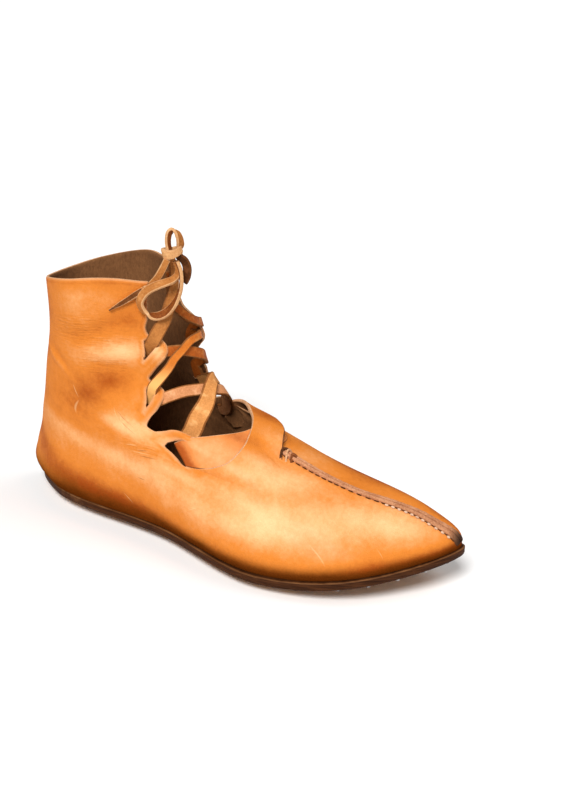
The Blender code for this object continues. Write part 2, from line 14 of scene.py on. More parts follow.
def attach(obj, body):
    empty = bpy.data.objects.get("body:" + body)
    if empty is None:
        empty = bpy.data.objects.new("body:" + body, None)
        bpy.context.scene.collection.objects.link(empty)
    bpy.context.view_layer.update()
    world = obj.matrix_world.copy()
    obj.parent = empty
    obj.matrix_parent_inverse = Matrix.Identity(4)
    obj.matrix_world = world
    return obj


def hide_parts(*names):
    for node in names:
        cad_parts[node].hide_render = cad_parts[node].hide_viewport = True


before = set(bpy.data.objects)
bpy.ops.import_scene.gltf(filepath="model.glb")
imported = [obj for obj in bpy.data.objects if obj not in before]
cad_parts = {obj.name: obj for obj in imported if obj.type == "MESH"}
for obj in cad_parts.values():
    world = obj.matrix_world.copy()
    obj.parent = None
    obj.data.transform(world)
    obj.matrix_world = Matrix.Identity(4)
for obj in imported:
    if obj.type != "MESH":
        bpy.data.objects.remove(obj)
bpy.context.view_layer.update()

# %% [markdown]
# ## Where everything is
# A shoemaker measures along the last, the wooden form inside the boot: from the heel forward, to either
# side and up from the floor, in millimetres. Blender counts metres from the middle of the boot's box.
# One small function turns the first into the second, and nothing else has to know about it.

# %% Millimetres on the last to metres in the frame
MM = 0.001
LAST_TO_FRAME = np.array([-142.956, 8.220, 0.0])


def in_frame(points):
    """Points of the last, in millimetres, moved so that the box's middle is the origin, in metres."""
    return (np.asarray(points, float) + LAST_TO_FRAME) * MM


def unit(vectors):
    """Vectors divided by their own lengths."""
    return vectors / np.linalg.norm(vectors, axis=-1, keepdims=True)


print("heel at", in_frame([0, 0, 0]).round(4).tolist())

# %% [markdown]
# ## Camera
# The boot is seen from its outer side, a little from the front and from above. A camera needs a place
# and three directions: right, up and back. They follow from two angles, a distance and the point that is
# looked at; a last small turn about the line of sight levels the boot as the photographer held it.

# %% Camera
AZIMUTH, ELEVATION, ROLL = np.radians([31.591, 23.560, 2.0])
MIDDLE = np.array([145.0, 0.0, 70.0])
DISTANCE = 900.0
AIM_RIGHT, AIM_UP = 28.44, 21.23
LENS = 68.29


def outward(azimuth, elevation):
    """The direction away from the boot at an azimuth, which is 0 on the outer side, and an elevation."""
    level = math.cos(elevation)
    return np.array([math.sin(azimuth) * level, -math.cos(azimuth) * level, math.sin(elevation)])


def level_axes(back):
    """Axes as columns: right, which is level and square to back, then up, square to both, then back."""
    right = unit(np.cross([0.0, 0.0, 1.0], back))
    return np.column_stack([right, np.cross(back, right), back])


def show(name, data, place=np.zeros(3), axes=np.eye(3)):
    """A new object in the scene, at a place in metres and turned to the axes."""
    shown = bpy.data.objects.new(name, data)
    shown.matrix_world = Matrix.LocRotScale(place.tolist(), Matrix(axes.tolist()), None)
    bpy.context.scene.collection.objects.link(shown)
    return shown


def camera_frame():
    """The camera's place and its axes: back points from the aim to the place, and right and up are turned
    about it by the roll."""
    away = outward(AZIMUTH, ELEVATION)
    level = np.array([math.cos(AZIMUTH), math.sin(AZIMUTH), 0.0])
    place = MIDDLE + DISTANCE * away
    aim = MIDDLE + AIM_RIGHT * level + AIM_UP * np.cross(away, level)
    right, up, back = level_axes(unit(place - aim)).T
    turned_right = math.cos(ROLL) * right + math.sin(ROLL) * up
    turned_up = math.cos(ROLL) * up - math.sin(ROLL) * right
    return place, np.column_stack([turned_right, turned_up, back])


camera_place, camera_axes = camera_frame()
lens = bpy.data.cameras.new("camera")
lens.lens = LENS
lens.clip_start = 0.05
lens.clip_end = 60.0
bpy.context.scene.camera = show("camera", lens, in_frame(camera_place), camera_axes)
bpy.context.scene.view_settings.view_transform = "Standard"
print("camera at", in_frame(camera_place).round(3).tolist())

# %% [markdown]
# ## Grids, sweeps and meshes
# Two ways of making a surface do nearly all the work here. A grid is a function of two numbers, and a
# sweep carries a small outline along a path. Both end as rows of points, joined by four-sided faces.

# %% Grids and sweeps


def smooth_through(knots, values, at):
    """A smooth curve through rows of values: on each span the cubic with the ends' values and slopes.
    A knot's slope is the mean of its two spans' slopes, each weighted by the other span's length."""
    at = np.asarray(at, float)
    values = np.asarray(values, float)
    step = np.diff(knots)[:, None]
    rise = np.diff(values, axis=0) / step
    slope = np.empty_like(values)
    slope[1:-1] = (rise[:-1] * step[1:] + rise[1:] * step[:-1]) / (step[1:] + step[:-1])
    slope[0] = 1.5 * rise[0] - 0.5 * slope[1]
    slope[-1] = 1.5 * rise[-1] - 0.5 * slope[-2]
    k = np.clip(np.searchsorted(knots, at, side="right") - 1, 0, len(knots) - 2)
    t = ((at - knots[k]) / step[k, 0])[:, None]
    return cubic(t, step[k], values[k], values[k + 1], slope[k], slope[k + 1])


def smooth_rows(rows, steps):
    """A table's rows joined by a smooth curve, read in so many even steps."""
    knots = np.arange(len(rows), dtype=float)
    return smooth_through(knots, rows, np.linspace(0, knots[-1], steps + 1))


def smooth_route(points, count):
    """So many points on the smooth curve through a route, with the distances along it for knots."""
    reach = arc_length(points)
    return smooth_through(reach, points, np.linspace(0, reach[-1], count))


def cubic(t, step, start, end, start_slope, end_slope):
    """The cubic from start to end over a span of length step, with the slopes given, at share t."""
    return ((2 * t**3 - 3 * t**2 + 1) * start + (t**3 - 2 * t**2 + t) * step * start_slope
            + (3 * t**2 - 2 * t**3) * end + (t**3 - t**2) * step * end_slope)


def arc_length(curve):
    """Distance along a curve at each of its points."""
    steps = np.linalg.norm(np.diff(curve, axis=-2), axis=-1)
    return np.concatenate([np.zeros(steps.shape[:-1] + (1,)), np.cumsum(steps, axis=-1)], axis=-1)


def smooth_step(t):
    """0 below 0, 1 above 1, and 3t² - 2t³ between them."""
    t = np.clip(t, 0, 1)
    return t * t * (3 - 2 * t)


def read_at(at, knots, rows):
    """Rows of numbers read between knots, in straight runs."""
    return np.stack([np.interp(at, knots, column) for column in rows.T], axis=-1)


def grid_faces(rows, columns, ring=False):
    """The four corners of each cell of a grid with closed rows; in a ring the last row meets the first."""
    index = np.pad(np.arange(rows * columns).reshape(rows, columns), ((0, int(ring)), (0, 1)), mode="wrap")
    return np.stack([index[:-1, :-1], index[:-1, 1:], index[1:, 1:], index[1:, :-1]], axis=-1).reshape(-1, 4)


def box_outline(flat, corner, across_radius, through_radius):
    """A box from 0 to 1 across and through with quarter ellipses for corners: roof, far edge, floor and
    near edge."""
    turn = np.linspace(0, math.pi / 2, corner + 1)
    run = np.linspace(across_radius, 1 - across_radius, flat)[1:-1]
    half = np.concatenate([
        np.column_stack([run, np.ones(flat - 2)]),
        np.column_stack([1 - across_radius * (1 - np.sin(turn)), 1 - through_radius * (1 - np.cos(turn))]),
        np.column_stack([1 - across_radius * (1 - np.cos(turn)), through_radius * (1 - np.sin(turn))])])
    return np.concatenate([half, 1 - half])


def side_kinds(outline):
    """0 for the runs of an outline along its roof, 1 along its floor, 2 round its edges."""
    start, end = outline[:, 1], np.roll(outline[:, 1], -1)
    return np.where(np.minimum(start, end) > 0.99, 0, np.where(np.maximum(start, end) < 0.01, 1, 2))


THONG_SECTION = box_outline(6, 3, 0.10, 0.26)


def sweep(path, across, half_width, half_thickness, closed=False):
    """A flat thong along a path: its section is a rounded box, half_width along the across direction made
    square to the path, and half_thickness along the normal, which is square to both."""
    outline = 2 * THONG_SECTION - 1
    if closed:
        tangent = unit(np.roll(path, -1, axis=0) - np.roll(path, 1, axis=0))
    else:
        tangent = unit(np.gradient(path, axis=0))
    across = np.broadcast_to(across, path.shape)
    across = unit(across - np.sum(across * tangent, axis=1, keepdims=True) * tangent)
    normal = np.cross(tangent, across)
    half_width = np.broadcast_to(half_width, len(path))[:, None, None]
    half_thickness = np.broadcast_to(half_thickness, len(path))[:, None, None]
    return (path[:, None] + outline[None, :, :1] * half_width * across[:, None]
            + outline[None, :, 1:] * half_thickness * normal[:, None])


def tube_faces(rows, columns):
    """Faces of a tube of closed rows, with one many-sided face on each end."""
    last = (rows - 1) * columns
    ends = [list(range(columns - 1, -1, -1)), list(range(last, last + columns))]
    return grid_faces(rows, columns).tolist() + ends


print("a thong's section has", len(THONG_SECTION), "points")

# %% Pieces from points and faces


def inside_out(points, faces):
    """Whether closed faces point inwards: the triple products of their fans then add up to less than 0."""
    fans = np.array([(face[0], b, c) for face in faces for b, c in zip(face[1:], face[2:])])
    first, second, third = points[fans].transpose(1, 0, 2)
    return np.sum(first * np.cross(second, third)) < 0


def new_piece(name, points, faces, finishes, face_finish=None, sharp=None):
    """A mesh piece from points in millimetres; its faces are turned outwards, and it rides on the boot."""
    points = np.asarray(points, float).reshape(-1, 3)
    faces = faces.tolist() if isinstance(faces, np.ndarray) else faces
    if inside_out(points - points.mean(axis=0), faces):
        faces = [face[::-1] for face in faces]
    mesh = bpy.data.meshes.new(name)
    mesh.from_pydata(in_frame(points).tolist(), [], faces)
    for finish in finishes:
        mesh.materials.append(finish)
    if face_finish is not None:
        mesh.polygons.foreach_set("material_index", np.asarray(face_finish, np.int32))
    mesh.shade_smooth()
    if sharp:
        mesh.set_sharp_from_angle(angle=math.radians(sharp))
    piece = show(name, mesh)
    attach(piece, "root")
    print(f"{name}: {len(points)} points, {len(faces)} faces")
    return piece


def add_numbers(piece, name, values):
    """One number a point, which the piece's finish can read."""
    store = piece.data.attributes.new(name, "FLOAT", "POINT")
    store.data.foreach_set("value", np.asarray(values, np.float32).ravel())


def add_map(piece, name, places):
    """A flat map of a piece: two numbers for each corner of each face."""
    store = piece.data.uv_layers.new(name=name)
    store.data.foreach_set("uv", np.asarray(places, np.float32).ravel())


# %% [markdown]
# ## Finishes as arithmetic
# A finish in Blender is a graph of nodes. It is easier to read as arithmetic, so a small class stands for
# one output of a node: adding or multiplying two of them adds a Math node, and one method adds the rest.

# %% A socket that does sums
OBJECT_PLACE = 3


class Tone:
    """One output socket of a finish. Sums, products and powers of it add Math nodes."""

    def __init__(self, tree, socket=None):
        self.tree = tree
        self.socket = socket

    def node(self, kind, settings=None, inputs=None, out=0):
        """Add a node: its settings first, then its inputs as values or links; one output comes back."""
        made = self.tree.nodes.new("ShaderNode" + kind)
        for key, value in (settings or {}).items():
            setattr(made, key, value)
        for key, value in (inputs or {}).items():
            if isinstance(value, Tone):
                self.tree.links.new(value.socket, made.inputs[key])
            else:
                made.inputs[key].default_value = value
        return Tone(self.tree, made.outputs[out])

    def maths(self, operation, first, second):
        """One step of arithmetic on two tones or numbers."""
        return self.node("Math", {"operation": operation}, {0: first, 1: second})

    def __add__(self, other):
        return self.maths("ADD", self, other)

    def __sub__(self, other):
        return self.maths("SUBTRACT", self, other)

    def __rsub__(self, other):
        return self.maths("SUBTRACT", other, self)

    def __mul__(self, other):
        return self.maths("MULTIPLY", self, other)

    def __pow__(self, other):
        return self.maths("POWER", self, other)

    __radd__ = __add__
    __rmul__ = __mul__

    def rise(self, low, high):
        """0 at low, 1 at high, eased between them."""
        return self.node("MapRange", {"interpolation_type": "SMOOTHSTEP"},
                         {"Value": self, "From Min": low, "From Max": high})

    def mix(self, start, end):
        """The colour start where this is 0 and end where it is 1."""
        start, end = ((*c, 1.0) if isinstance(c, tuple) else c for c in (start, end))
        return self.node("Mix", {"data_type": "RGBA"}, {0: self, 6: start, 7: end}, out=2)

    def noise(self, scale, detail=3.0, roughness=0.55, stretch=None):
        """Cloudy noise about 1 / scale wide, read at this place; stretch makes it longer one way."""
        place = self
        if stretch:
            place = self.node("VectorMath", {"operation": "MULTIPLY"}, {0: self, 1: stretch})
        return self.node("TexNoise", {"normalize": True},
                         {"Vector": place, "Scale": scale, "Detail": detail, "Roughness": roughness})

    def cells(self, scale):
        """Distance to the edges of small cells, as between the pebbles of grain."""
        return self.node("TexVoronoi", {"feature": "DISTANCE_TO_EDGE"}, {"Vector": self, "Scale": scale})

    def mark(self, place, heading, length, width):
        """1 along a thin mark at a place, fading at its ends and sides."""
        local = self.node("Mapping", {"vector_type": "TEXTURE"},
                          {"Vector": self, "Location": (*place, 0.0), "Rotation": (0.0, 0.0, heading),
                           "Scale": (length / 2, width / 2, 1.0)})
        away = self.node("VectorMath", {"operation": "LENGTH"}, {0: local}, out=1)
        return away.rise(1.0, 0.25)


def new_finish(name, **constants):
    """An empty finish with its shader's constants, and the place on the piece, where the sums start."""
    finish = bpy.data.materials.new(name)
    finish.use_nodes = True
    for socket, value in constants.items():
        finish.node_tree.nodes["Principled BSDF"].inputs[socket.replace("_", " ")].default_value = value
    return finish, Tone(finish.node_tree).node("TexCoord", out=OBJECT_PLACE)


def wear(finish, colour, grain, depth, **more):
    """Feed a finish its colour, a grain that tilts the surface as if it rose by depth metres where grain is
    1, and what more varies."""
    bump = grain.node("Bump", None, {"Height": grain, "Distance": depth, "Strength": 1.0})
    shader = finish.node_tree.nodes["Principled BSDF"]
    for socket, tone in dict(Base_Color=colour, Normal=bump, **more).items():
        finish.node_tree.links.new(tone.socket, shader.inputs[socket.replace("_", " ")])
    return finish


# %% [markdown]
# ## Thong leather
# The lace is cut from the same hide as a flat thong. Its grain side is smooth and orange, and its flesh
# side is paler and covered with short fibres. Both get a fine nap; only the colours and the gloss differ.

# %% Thong finishes


def thong_finish(name, deep, fair, worn, roughness, nap, yellow_heights=None):
    """Deep to fair by cloudy noise in two sizes, worn on the paler patches, with a nap of fine noise.
    Where two heights are given, the thong is as it was at the first and yellow at the second."""
    finish, place = new_finish(name, Roughness=roughness, Specular_IOR_Level=0.08)
    cloud = place.noise(55.0, 4.0, 0.6)
    fibre = place.noise(900.0, 3.0, 0.7)
    colour = (cloud * 0.65 + fibre * 0.5).rise(0.32, 0.80).mix(deep, fair)
    colour = place.noise(160.0, 3.0, 0.6).rise(0.52, 0.75).mix(colour, worn)
    if yellow_heights:
        height = place.node("SeparateXYZ", None, {0: place}, out=2)
        colour = (height.rise(*yellow_heights) * 0.85).mix(colour, (0.88, 0.47, 0.15))
    grain = fibre * 0.7 + place.noise(2400.0, 2.0) * 0.4
    return wear(finish, colour, grain, nap, Roughness=roughness + 0.16 * (fibre - 0.5))


# Name: deep, fair and worn colours, roughness, depth of the nap, and the two heights of a stretch that
# turns yellow
THONG_TONES = {
    "flesh": ((0.30, 0.100, 0.022), (0.53, 0.205, 0.052), (0.59, 0.265, 0.085), 0.80, 0.0004),
    "pale": ((0.46, 0.200, 0.075), (0.74, 0.400, 0.165), (0.80, 0.48, 0.23), 0.80, 0.0004),
    "rosy": ((0.44, 0.165, 0.060), (0.74, 0.325, 0.140), (0.78, 0.40, 0.20), 0.80, 0.0004),
    "fawn": ((0.42, 0.155, 0.040), (0.73, 0.315, 0.095), (0.78, 0.40, 0.15), 0.80, 0.0004),
    # Painted shade on the tail of the near end and the edges of the far end
    "dark": ((0.06, 0.017, 0.004), (0.19, 0.062, 0.016), (0.26, 0.10, 0.032), 0.70, 0.0003),
    "shade": ((0.03, 0.010, 0.003), (0.11, 0.036, 0.010), (0.17, 0.06, 0.020), 0.70, 0.0003),
    # Painted shade on the inner faces of the two loops
    "deep": ((0.10, 0.022, 0.004), (0.30, 0.080, 0.014), (0.36, 0.12, 0.028), 0.60, 0.0003),
    "grain": ((0.42, 0.100, 0.012), (0.66, 0.190, 0.026), (0.64, 0.24, 0.050), 0.48, 0.00018, (0.113, 0.099)),
    "red": ((0.26, 0.055, 0.007), (0.48, 0.115, 0.015), (0.52, 0.16, 0.030), 0.50, 0.00018),
    # Painted shade along the edges of the lace bars that cross the throat
    "rim": ((0.15, 0.047, 0.011), (0.34, 0.125, 0.034), (0.42, 0.18, 0.060), 0.78, 0.0004),
    "edge": ((0.44, 0.200, 0.080), (0.72, 0.410, 0.190), (0.76, 0.48, 0.26), 0.78, 0.0004)}
thong = {name: thong_finish("thong_" + name, *tones) for name, tones in THONG_TONES.items()}
print("thong finishes:", ", ".join(thong))

# %% [markdown]
# ## Bow
# The lace is tied high on the shaft: a small loop stands up, a large loop hangs to the outer side, one
# end lies across the shaft and the other hangs behind. Thong bends only across its flat side, so each
# stretch is a flat section swept along a smooth curve, and a direction says which way its width lies.

# %% Loose lace
THONG_WIDTH = 5.0
THONG_HALF_THICKNESS = 1.1
THONG_SPACING = 0.8
THONG_SHARP = 50

LOWER_LOOP = np.array([
    (111.4, -13.2, 172.4), (112.3, -12.4, 167.9), (112.1, -12.6, 163.7), (110.6, -15.1, 161.4),
    (107.6, -18.4, 159.9), (104.0, -21.8, 158.3), (100.5, -24.9, 156.1), (97.4, -26.7, 152.4),
    (95.9, -27.4, 148.0), (97.1, -26.6, 143.8), (100.2, -24.6, 140.4), (104.3, -22.2, 139.7),
    (108.6, -19.6, 141.9), (112.0, -17.5, 146.0), (114.6, -15.6, 151.8), (115.9, -14.5, 157.9),
    (116.0, -14.4, 163.6), (114.8, -14.3, 168.8), (113.0, -14.6, 172.5)])
UPPER_LOOP = np.array([
    (108.6, -15.7, 176.8), (107.9, -15.3, 179.3), (107.1, -15.1, 182.4), (106.7, -14.5, 185.7),
    (106.9, -13.4, 188.7), (108.2, -12.2, 190.0), (110.2, -11.3, 189.0), (112.1, -10.9, 185.8),
    (112.8, -10.9, 182.2), (112.6, -11.4, 178.2)])
FAR_END = np.array([
    (113.0, -12.0, 175.1), (115.1, -10.7, 173.1), (116.6, -9.9, 169.8), (116.7, -9.4, 166.1),
    (116.1, -9.5, 162.4), (114.8, -10.0, 159.5)])
NEAR_END = np.array([
    (108.4, -18.0, 174.0), (106.9, -18.4, 170.5), (104.7, -18.9, 166.0), (102.2, -19.7, 161.6),
    (99.6, -21.6, 157.8), (96.8, -23.7, 155.1), (92.3, -25.3, 151.9), (87.0, -26.8, 147.9),
    (81.2, -28.7, 143.8), (76.5, -31.2, 140.4)])


def seen(right, up, towards):
    """A direction as the eye sees it: so much to the right, so much up and so much towards the eye."""
    return camera_axes @ np.array([right, up, towards])


def along(points, spacing):
    """Points of the smooth curve through a route, about as far apart as the spacing."""
    fine = smooth_route(points, 400)
    reach = arc_length(fine)
    count = max(8, int(round(reach[-1] / spacing)) + 1)
    at = np.linspace(0, reach[-1], count)
    return read_at(at, reach, fine)


def spread(values, share):
    """Values at even steps of a way, read at each share of it."""
    at = np.linspace(0, 1, len(values))
    return read_at(share, at, np.asarray(values)) if np.ndim(values) > 1 else np.interp(share, at, values)


def thong_kinds(rows, closed=False):
    """Which finish each face of a swept thong has: its two sides, its edges and its ends."""
    kinds = side_kinds(THONG_SECTION)
    return np.tile(kinds, rows) if closed else np.append(np.tile(kinds, rows - 1), [2, 2])


def loose_thong(name, route, across, widths, thickness, finishes, far_end, nodes, late_from=1.0):
    """A free stretch of lace: the section swept along its route, with its width given along the way. Three
    more finishes, where given, take over from a share of the way on."""
    path = along(route, THONG_SPACING)
    share = np.linspace(0, 1, len(path))
    half = 0.5 * spread(widths, share)
    half_thick = spread(thickness, share)
    across = spread(across, share)
    points = sweep(path, across, half, half_thick)
    kinds = thong_kinds(len(path))
    late = np.append(np.repeat(share[1:] > late_from, len(THONG_SECTION)), [False, True])
    kinds = np.where(late & (len(finishes) > 3), kinds + 3, kinds)
    piece = new_piece(name, points, tube_faces(*points.shape[:2]), [thong[k] for k in finishes], kinds,
                      sharp=THONG_SHARP)
    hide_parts(*nodes)
    length = arc_length(path)[-1] * MM
    print(f"  {name}: {length * 1000:.1f} mm long")
    return piece, dict(exit=in_frame(path[0]).tolist(), length=round(float(length), 4),
                       diameter=THONG_WIDTH * MM, far_end=far_end, stiffness="limp", lay="hanging",
                       path=in_frame(path).tolist())


lower_across = [seen(0.8, 0.0, 0.6), seen(0.5, -0.6, 0.5), seen(0.3, -0.85, 0.4), seen(0.5, -0.75, 0.4),
                seen(0.8, -0.4, 0.4), seen(0.2, -0.9, 0.4), seen(0.1, -0.6, 0.6), seen(0.15, -0.3, 0.8),
                seen(0.3, -0.1, 0.8)]
# The lower loop's inner face has painted shade.
lower_loop, lower_facts = loose_thong(
    "lower_loop_thong", LOWER_LOOP, lower_across, [3.8, 4.8, 5.4, 5.6, 5.2, 5.4, 5.2, 4.6, 4.0],
    [1.0, 1.0, 1.0], ["flesh", "deep", "edge"], "knot", ["bow_loop_lower"])
near_across = [seen(0.9, 0.35, 0.2), seen(0.9, 0.4, 0.2), seen(0.3, 0.9, 0.2), seen(-0.3, 0.9, 0.3)]
# The near end's tail is darker with painted shade.
near_end, near_facts = loose_thong(
    "near_end_thong", NEAR_END, near_across, [3.8, 4.2, 4.2, 4.0, 3.4, 2.8, 0.8], [1.0, 1.0, 0.9, 0.6],
    ["flesh", "flesh", "edge", "dark", "dark", "edge"], "bare", ["lace_end_near"],
    late_from=0.5)
loop_across, hang_across = seen(-0.5, 0.2, 0.6), seen(0.9, 0.2, 0.4)
# The upper loop's inner face and the whole hanging far end are darker with painted shade.
upper_loop, upper_facts = loose_thong(
    "upper_loop_thong", np.concatenate([UPPER_LOOP, FAR_END]),
    [loop_across, loop_across, loop_across, loop_across, hang_across, hang_across, hang_across],
    [3.4, 3.6, 4.4, 5.0, 4.8, 5.2, 4.8], [1.0, 1.0, 1.0],
    ["deep", "flesh", "edge", "shade", "shade", "dark"], "bare",
    ["bow_loop_upper", "lace_end_far"], late_from=0.62)

# %% Knot
KNOT_CENTRE = np.array([109.2, -14.0, 177.6])
KNOT_WIDTH, KNOT_DEPTH, KNOT_TALL = 5.0, 3.2, 5.2
turn = np.linspace(0, 2 * math.pi, 48, endpoint=False)
level_right = unit(camera_axes[:, 0] * (1, 1, 0) + (0, 0, 0.28))
level_front = unit(camera_axes[:, 2] * (1, 1, 0))
wrap = (KNOT_CENTRE + KNOT_WIDTH * np.cos(turn)[:, None] * level_right
        + KNOT_DEPTH * np.sin(turn)[:, None] * level_front)
wrap[:, 2] += 0.5 * np.cos(2 * turn)
knot_up = np.cross(level_right, -level_front)
knot_points = sweep(wrap, knot_up, 0.5 * KNOT_TALL - 0.5 * np.cos(turn), THONG_HALF_THICKNESS, closed=True)
knot = new_piece("knot_thong", knot_points, grid_faces(*knot_points.shape[:2], ring=True),
                 [thong["pale"], thong["pale"], thong["edge"]], thong_kinds(len(wrap), closed=True),
                 sharp=THONG_SHARP)
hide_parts("lace_knot")

# %% [markdown]
# ## Last
# A last is described by level rings: how far each reaches back, forward and to either side. Ten anchors
# make each ring a smooth closed curve, and a smooth curve through the table gives the rings between. Any
# place on the upper is then two numbers: the ring's height, and the way round it from the front crest,
# minus towards the outer side. Working the rings out once into a table makes that quick for many points.

# %% Rings of the last
TOE = 290.0
SOLE_BOTTOM, SOLE_TOP = 5.0, 10.0
GAP = 0.3
WALL = 2.4
COLLAR = 159.0
TOE_SPRING, SPRING_FROM = 15.0, 185.0
COLLAR_DIP, DIP_FROM = 13.0, 70.0
HEEL_AT, WAIST_AT, BALL_AT, SHOULDER_AT = 0.09, 0.40, 0.67, 0.87
LATERAL_SHOULDER, MEDIAL_SHOULDER, BACK_SIDE = 0.74, 0.80, 1.5
RING_SAMPLES = 24

# Columns: height, back, front, ridge, outer ball, waist and heel, inner heel, waist and ball
RINGS = np.array([
    (10, 0.0, 288, 22.0, 51.5, 33.5, 22.0, 25.0, 22.0, 34.5),
    (18, -5.0, 287, 21.5, 53.0, 37.5, 26.0, 28.0, 27.0, 36.5),
    (30, -3.0, 274, 20.0, 49.5, 39.5, 26.5, 28.0, 31.0, 37.5),
    (44, 0.8, 251, 15.5, 43.0, 39.0, 25.0, 26.5, 34.0, 36.0),
    (58, 3.4, 208, 10.5, 37.0, 38.0, 24.0, 25.0, 35.5, 33.5),
    (74, 7.5, 158, 6.0, 32.5, 37.5, 23.0, 23.5, 36.0, 31.0),
    (94, 11.0, 132, 4.0, 29.0, 37.5, 22.5, 23.0, 36.0, 28.5),
    (118, 15.5, 121, 2.0, 27.0, 37.5, 23.0, 23.0, 36.5, 26.5),
    (159, 15.5, 110, 1.0, 27.5, 39.0, 24.0, 24.0, 38.0, 27.0)])
SOLE_RING = np.array([0.0, TOE, 22.5, 54.5, 35.0, 22.5, 28.0, 23.5, 37.5])


def ring_outlines(sizes):
    """Closed outlines seen from above, from rows of ring sizes: ten anchors from the crest round the outer
    side and back, joined by cubics whose slopes weigh each side by the other side's chord to the 0.75."""
    back, front, ridge, out_ball, out_waist, out_heel, in_heel, in_waist, in_ball = sizes.T
    span = front - back
    anchors = np.stack([np.stack(anchor, axis=-1) for anchor in (
        (front, ridge),
        (back + SHOULDER_AT * span, ridge - LATERAL_SHOULDER * (ridge + out_ball)),
        (back + BALL_AT * span, -out_ball),
        (back + WAIST_AT * span, -out_waist),
        (back + HEEL_AT * span, -out_heel),
        (back, np.full_like(back, BACK_SIDE)),
        (back + HEEL_AT * span, in_heel),
        (back + WAIST_AT * span, in_waist),
        (back + BALL_AT * span, in_ball),
        (back + SHOULDER_AT * span, ridge + MEDIAL_SHOULDER * (in_ball - ridge)))], axis=1)
    around = np.concatenate([anchors[:, -1:], anchors, anchors[:, :2]], axis=1)
    step = np.linalg.norm(np.diff(around, axis=1), axis=2)[..., None] ** 0.75
    rise = np.diff(around, axis=1) / step
    slope = (rise[:, :-1] * step[:, 1:] + rise[:, 1:] * step[:, :-1]) / (step[:, 1:] + step[:, :-1])
    t = (np.arange(RING_SAMPLES) / RING_SAMPLES)[:, None]
    curve = cubic(t, step[:, 1:-1, None], around[:, 1:-2, None], around[:, 2:-1, None],
                  slope[:, :-1, None], slope[:, 1:, None]).reshape(len(sizes), -1, 2)
    return np.concatenate([curve, curve[:, :1]], axis=1)


def outline_halves(outlines):
    """The outer and the inner half of each outline, both from the crest to the back."""
    back = 5 * RING_SAMPLES
    return outlines[:, :back + 1], outlines[:, back:][:, ::-1]


LEVELS = np.linspace(8.0, COLLAR, 605)
SHARES = np.linspace(0, 1, 601)
ring_halves = outline_halves(ring_outlines(smooth_through(RINGS[:, 0], RINGS[:, 1:], LEVELS)))
ring_arcs = [arc_length(half) for half in ring_halves]
GIRTHS = np.stack([arc[:, -1] for arc in ring_arcs])
RING_TABLE = np.stack([
    np.stack([read_at(SHARES * arc[-1], arc, ring) for arc, ring in zip(arcs, half)])
    for arcs, half in zip(ring_arcs, ring_halves)])
print("half girths at the collar:", GIRTHS[:, -1].round(1).tolist(), "mm")

# %% Places on the last


def level_of(height):
    """Number of the table's ring below a height, and the share of the way to the next one."""
    level = (np.clip(height, LEVELS[0], COLLAR - 1e-6) - LEVELS[0]) / (LEVELS[1] - LEVELS[0])
    ring = level.astype(int)
    return ring, level - ring


def half_girth(height, inner):
    """Length of the outer half of the ring at a height, or of the inner half where inner is 1."""
    ring, part = level_of(height)
    return GIRTHS[inner, ring] * (1 - part) + GIRTHS[inner, ring + 1] * part


def spring(x):
    """How far sole and upper rise towards the toe: the square of the share of the way along it."""
    return TOE_SPRING * np.clip((x - SPRING_FROM) / (TOE - SPRING_FROM), 0, 1) ** 2


def on_last(height, around):
    """Points of the last: the table read between its rings and shares, raised by the toe's spring and
    lowered where the collar dips at the back. Past the back the way goes on along the other half."""
    inner = (around > 0).astype(int)
    reach = np.abs(around)
    over = reach - half_girth(height, inner)
    inner = np.where(over > 0, 1 - inner, inner)
    girth = half_girth(height, inner)
    share = np.clip(np.where(over > 0, girth - over, reach) / girth, 0, 1)
    ring, part = level_of(height)
    step = np.minimum((share * (len(SHARES) - 1)).astype(int), len(SHARES) - 2)
    rest = (share * (len(SHARES) - 1) - step)[..., None]
    part = part[..., None]
    low, high = (RING_TABLE[inner, level, step] * (1 - rest) + RING_TABLE[inner, level, step + 1] * rest
                 for level in (ring, ring + 1))
    level = low * (1 - part) + high * part
    dip = COLLAR_DIP * smooth_step((share - 0.4) / 0.6)
    dip = dip * np.clip((height - DIP_FROM) / (COLLAR - DIP_FROM), 0, 1) ** 1.5
    return np.concatenate([level, (height - dip + spring(level[..., 0]))[..., None]], axis=-1)


def skin(height, around, lift):
    """Points lifted off the last along its normal, which is the product of the ways round and up."""
    height, around, lift = np.broadcast_arrays(*(np.asarray(v, float) for v in (height, around, lift)))
    nudge = 0.5
    along_ring = on_last(height, around + nudge) - on_last(height, around - nudge)
    upward = on_last(height + nudge, around) - on_last(height - nudge, around)
    return on_last(height, around) + lift[..., None] * unit(np.cross(along_ring, upward))


def skin_normal(height, around):
    """The direction straight off the last at a place."""
    return unit(skin(height, around, 1.0) - skin(height, around, 0.0))


print("toe point:", on_last(np.array([12.0]), np.array([0.0])).round(1).tolist())

# %% [markdown]
# ## Openings of the upper
# The maker cuts the throat with two loop tabs on each side, and slots behind the loops. On the flat map of
# height and way round, an opening is a closed line. The distance to that line, counted positive inside it,
# is all the grid needs: a grid point near the line is moved onto it, and cells inside are left out.

# %% Throat and slots
# Columns: height, way round of the throat's edge on the outer side, from the instep to above the collar
THROAT = np.array([
    (69.5, 0), (69.5, -20), (69.5, -40), (71.0, -46.5), (72.6, -47.6), (74.1, -50), (74.2, -53),
    (73.2, -61), (72.4, -68), (72.3, -71.6), (73.5, -72.0), (75.0, -69.2), (78.6, -60.8), (85.6, -46.4),
    (92.1, -38.2), (95.0, -36.0), (97.2, -37.2), (98.6, -40.6), (100.4, -41.8), (102.4, -39.6),
    (108.7, -32.3), (114.9, -25.5), (118.0, -23.5), (121.8, -23.3), (124.8, -25.3), (126.6, -29.0),
    (127.2, -32.8), (129.6, -33.4), (136.1, -30.9), (148.1, -28.4), (158.3, -26.1), (166.0, -24.5)])
MEDIAL_SHARE = 0.93
LOOPS_BELOW = 126
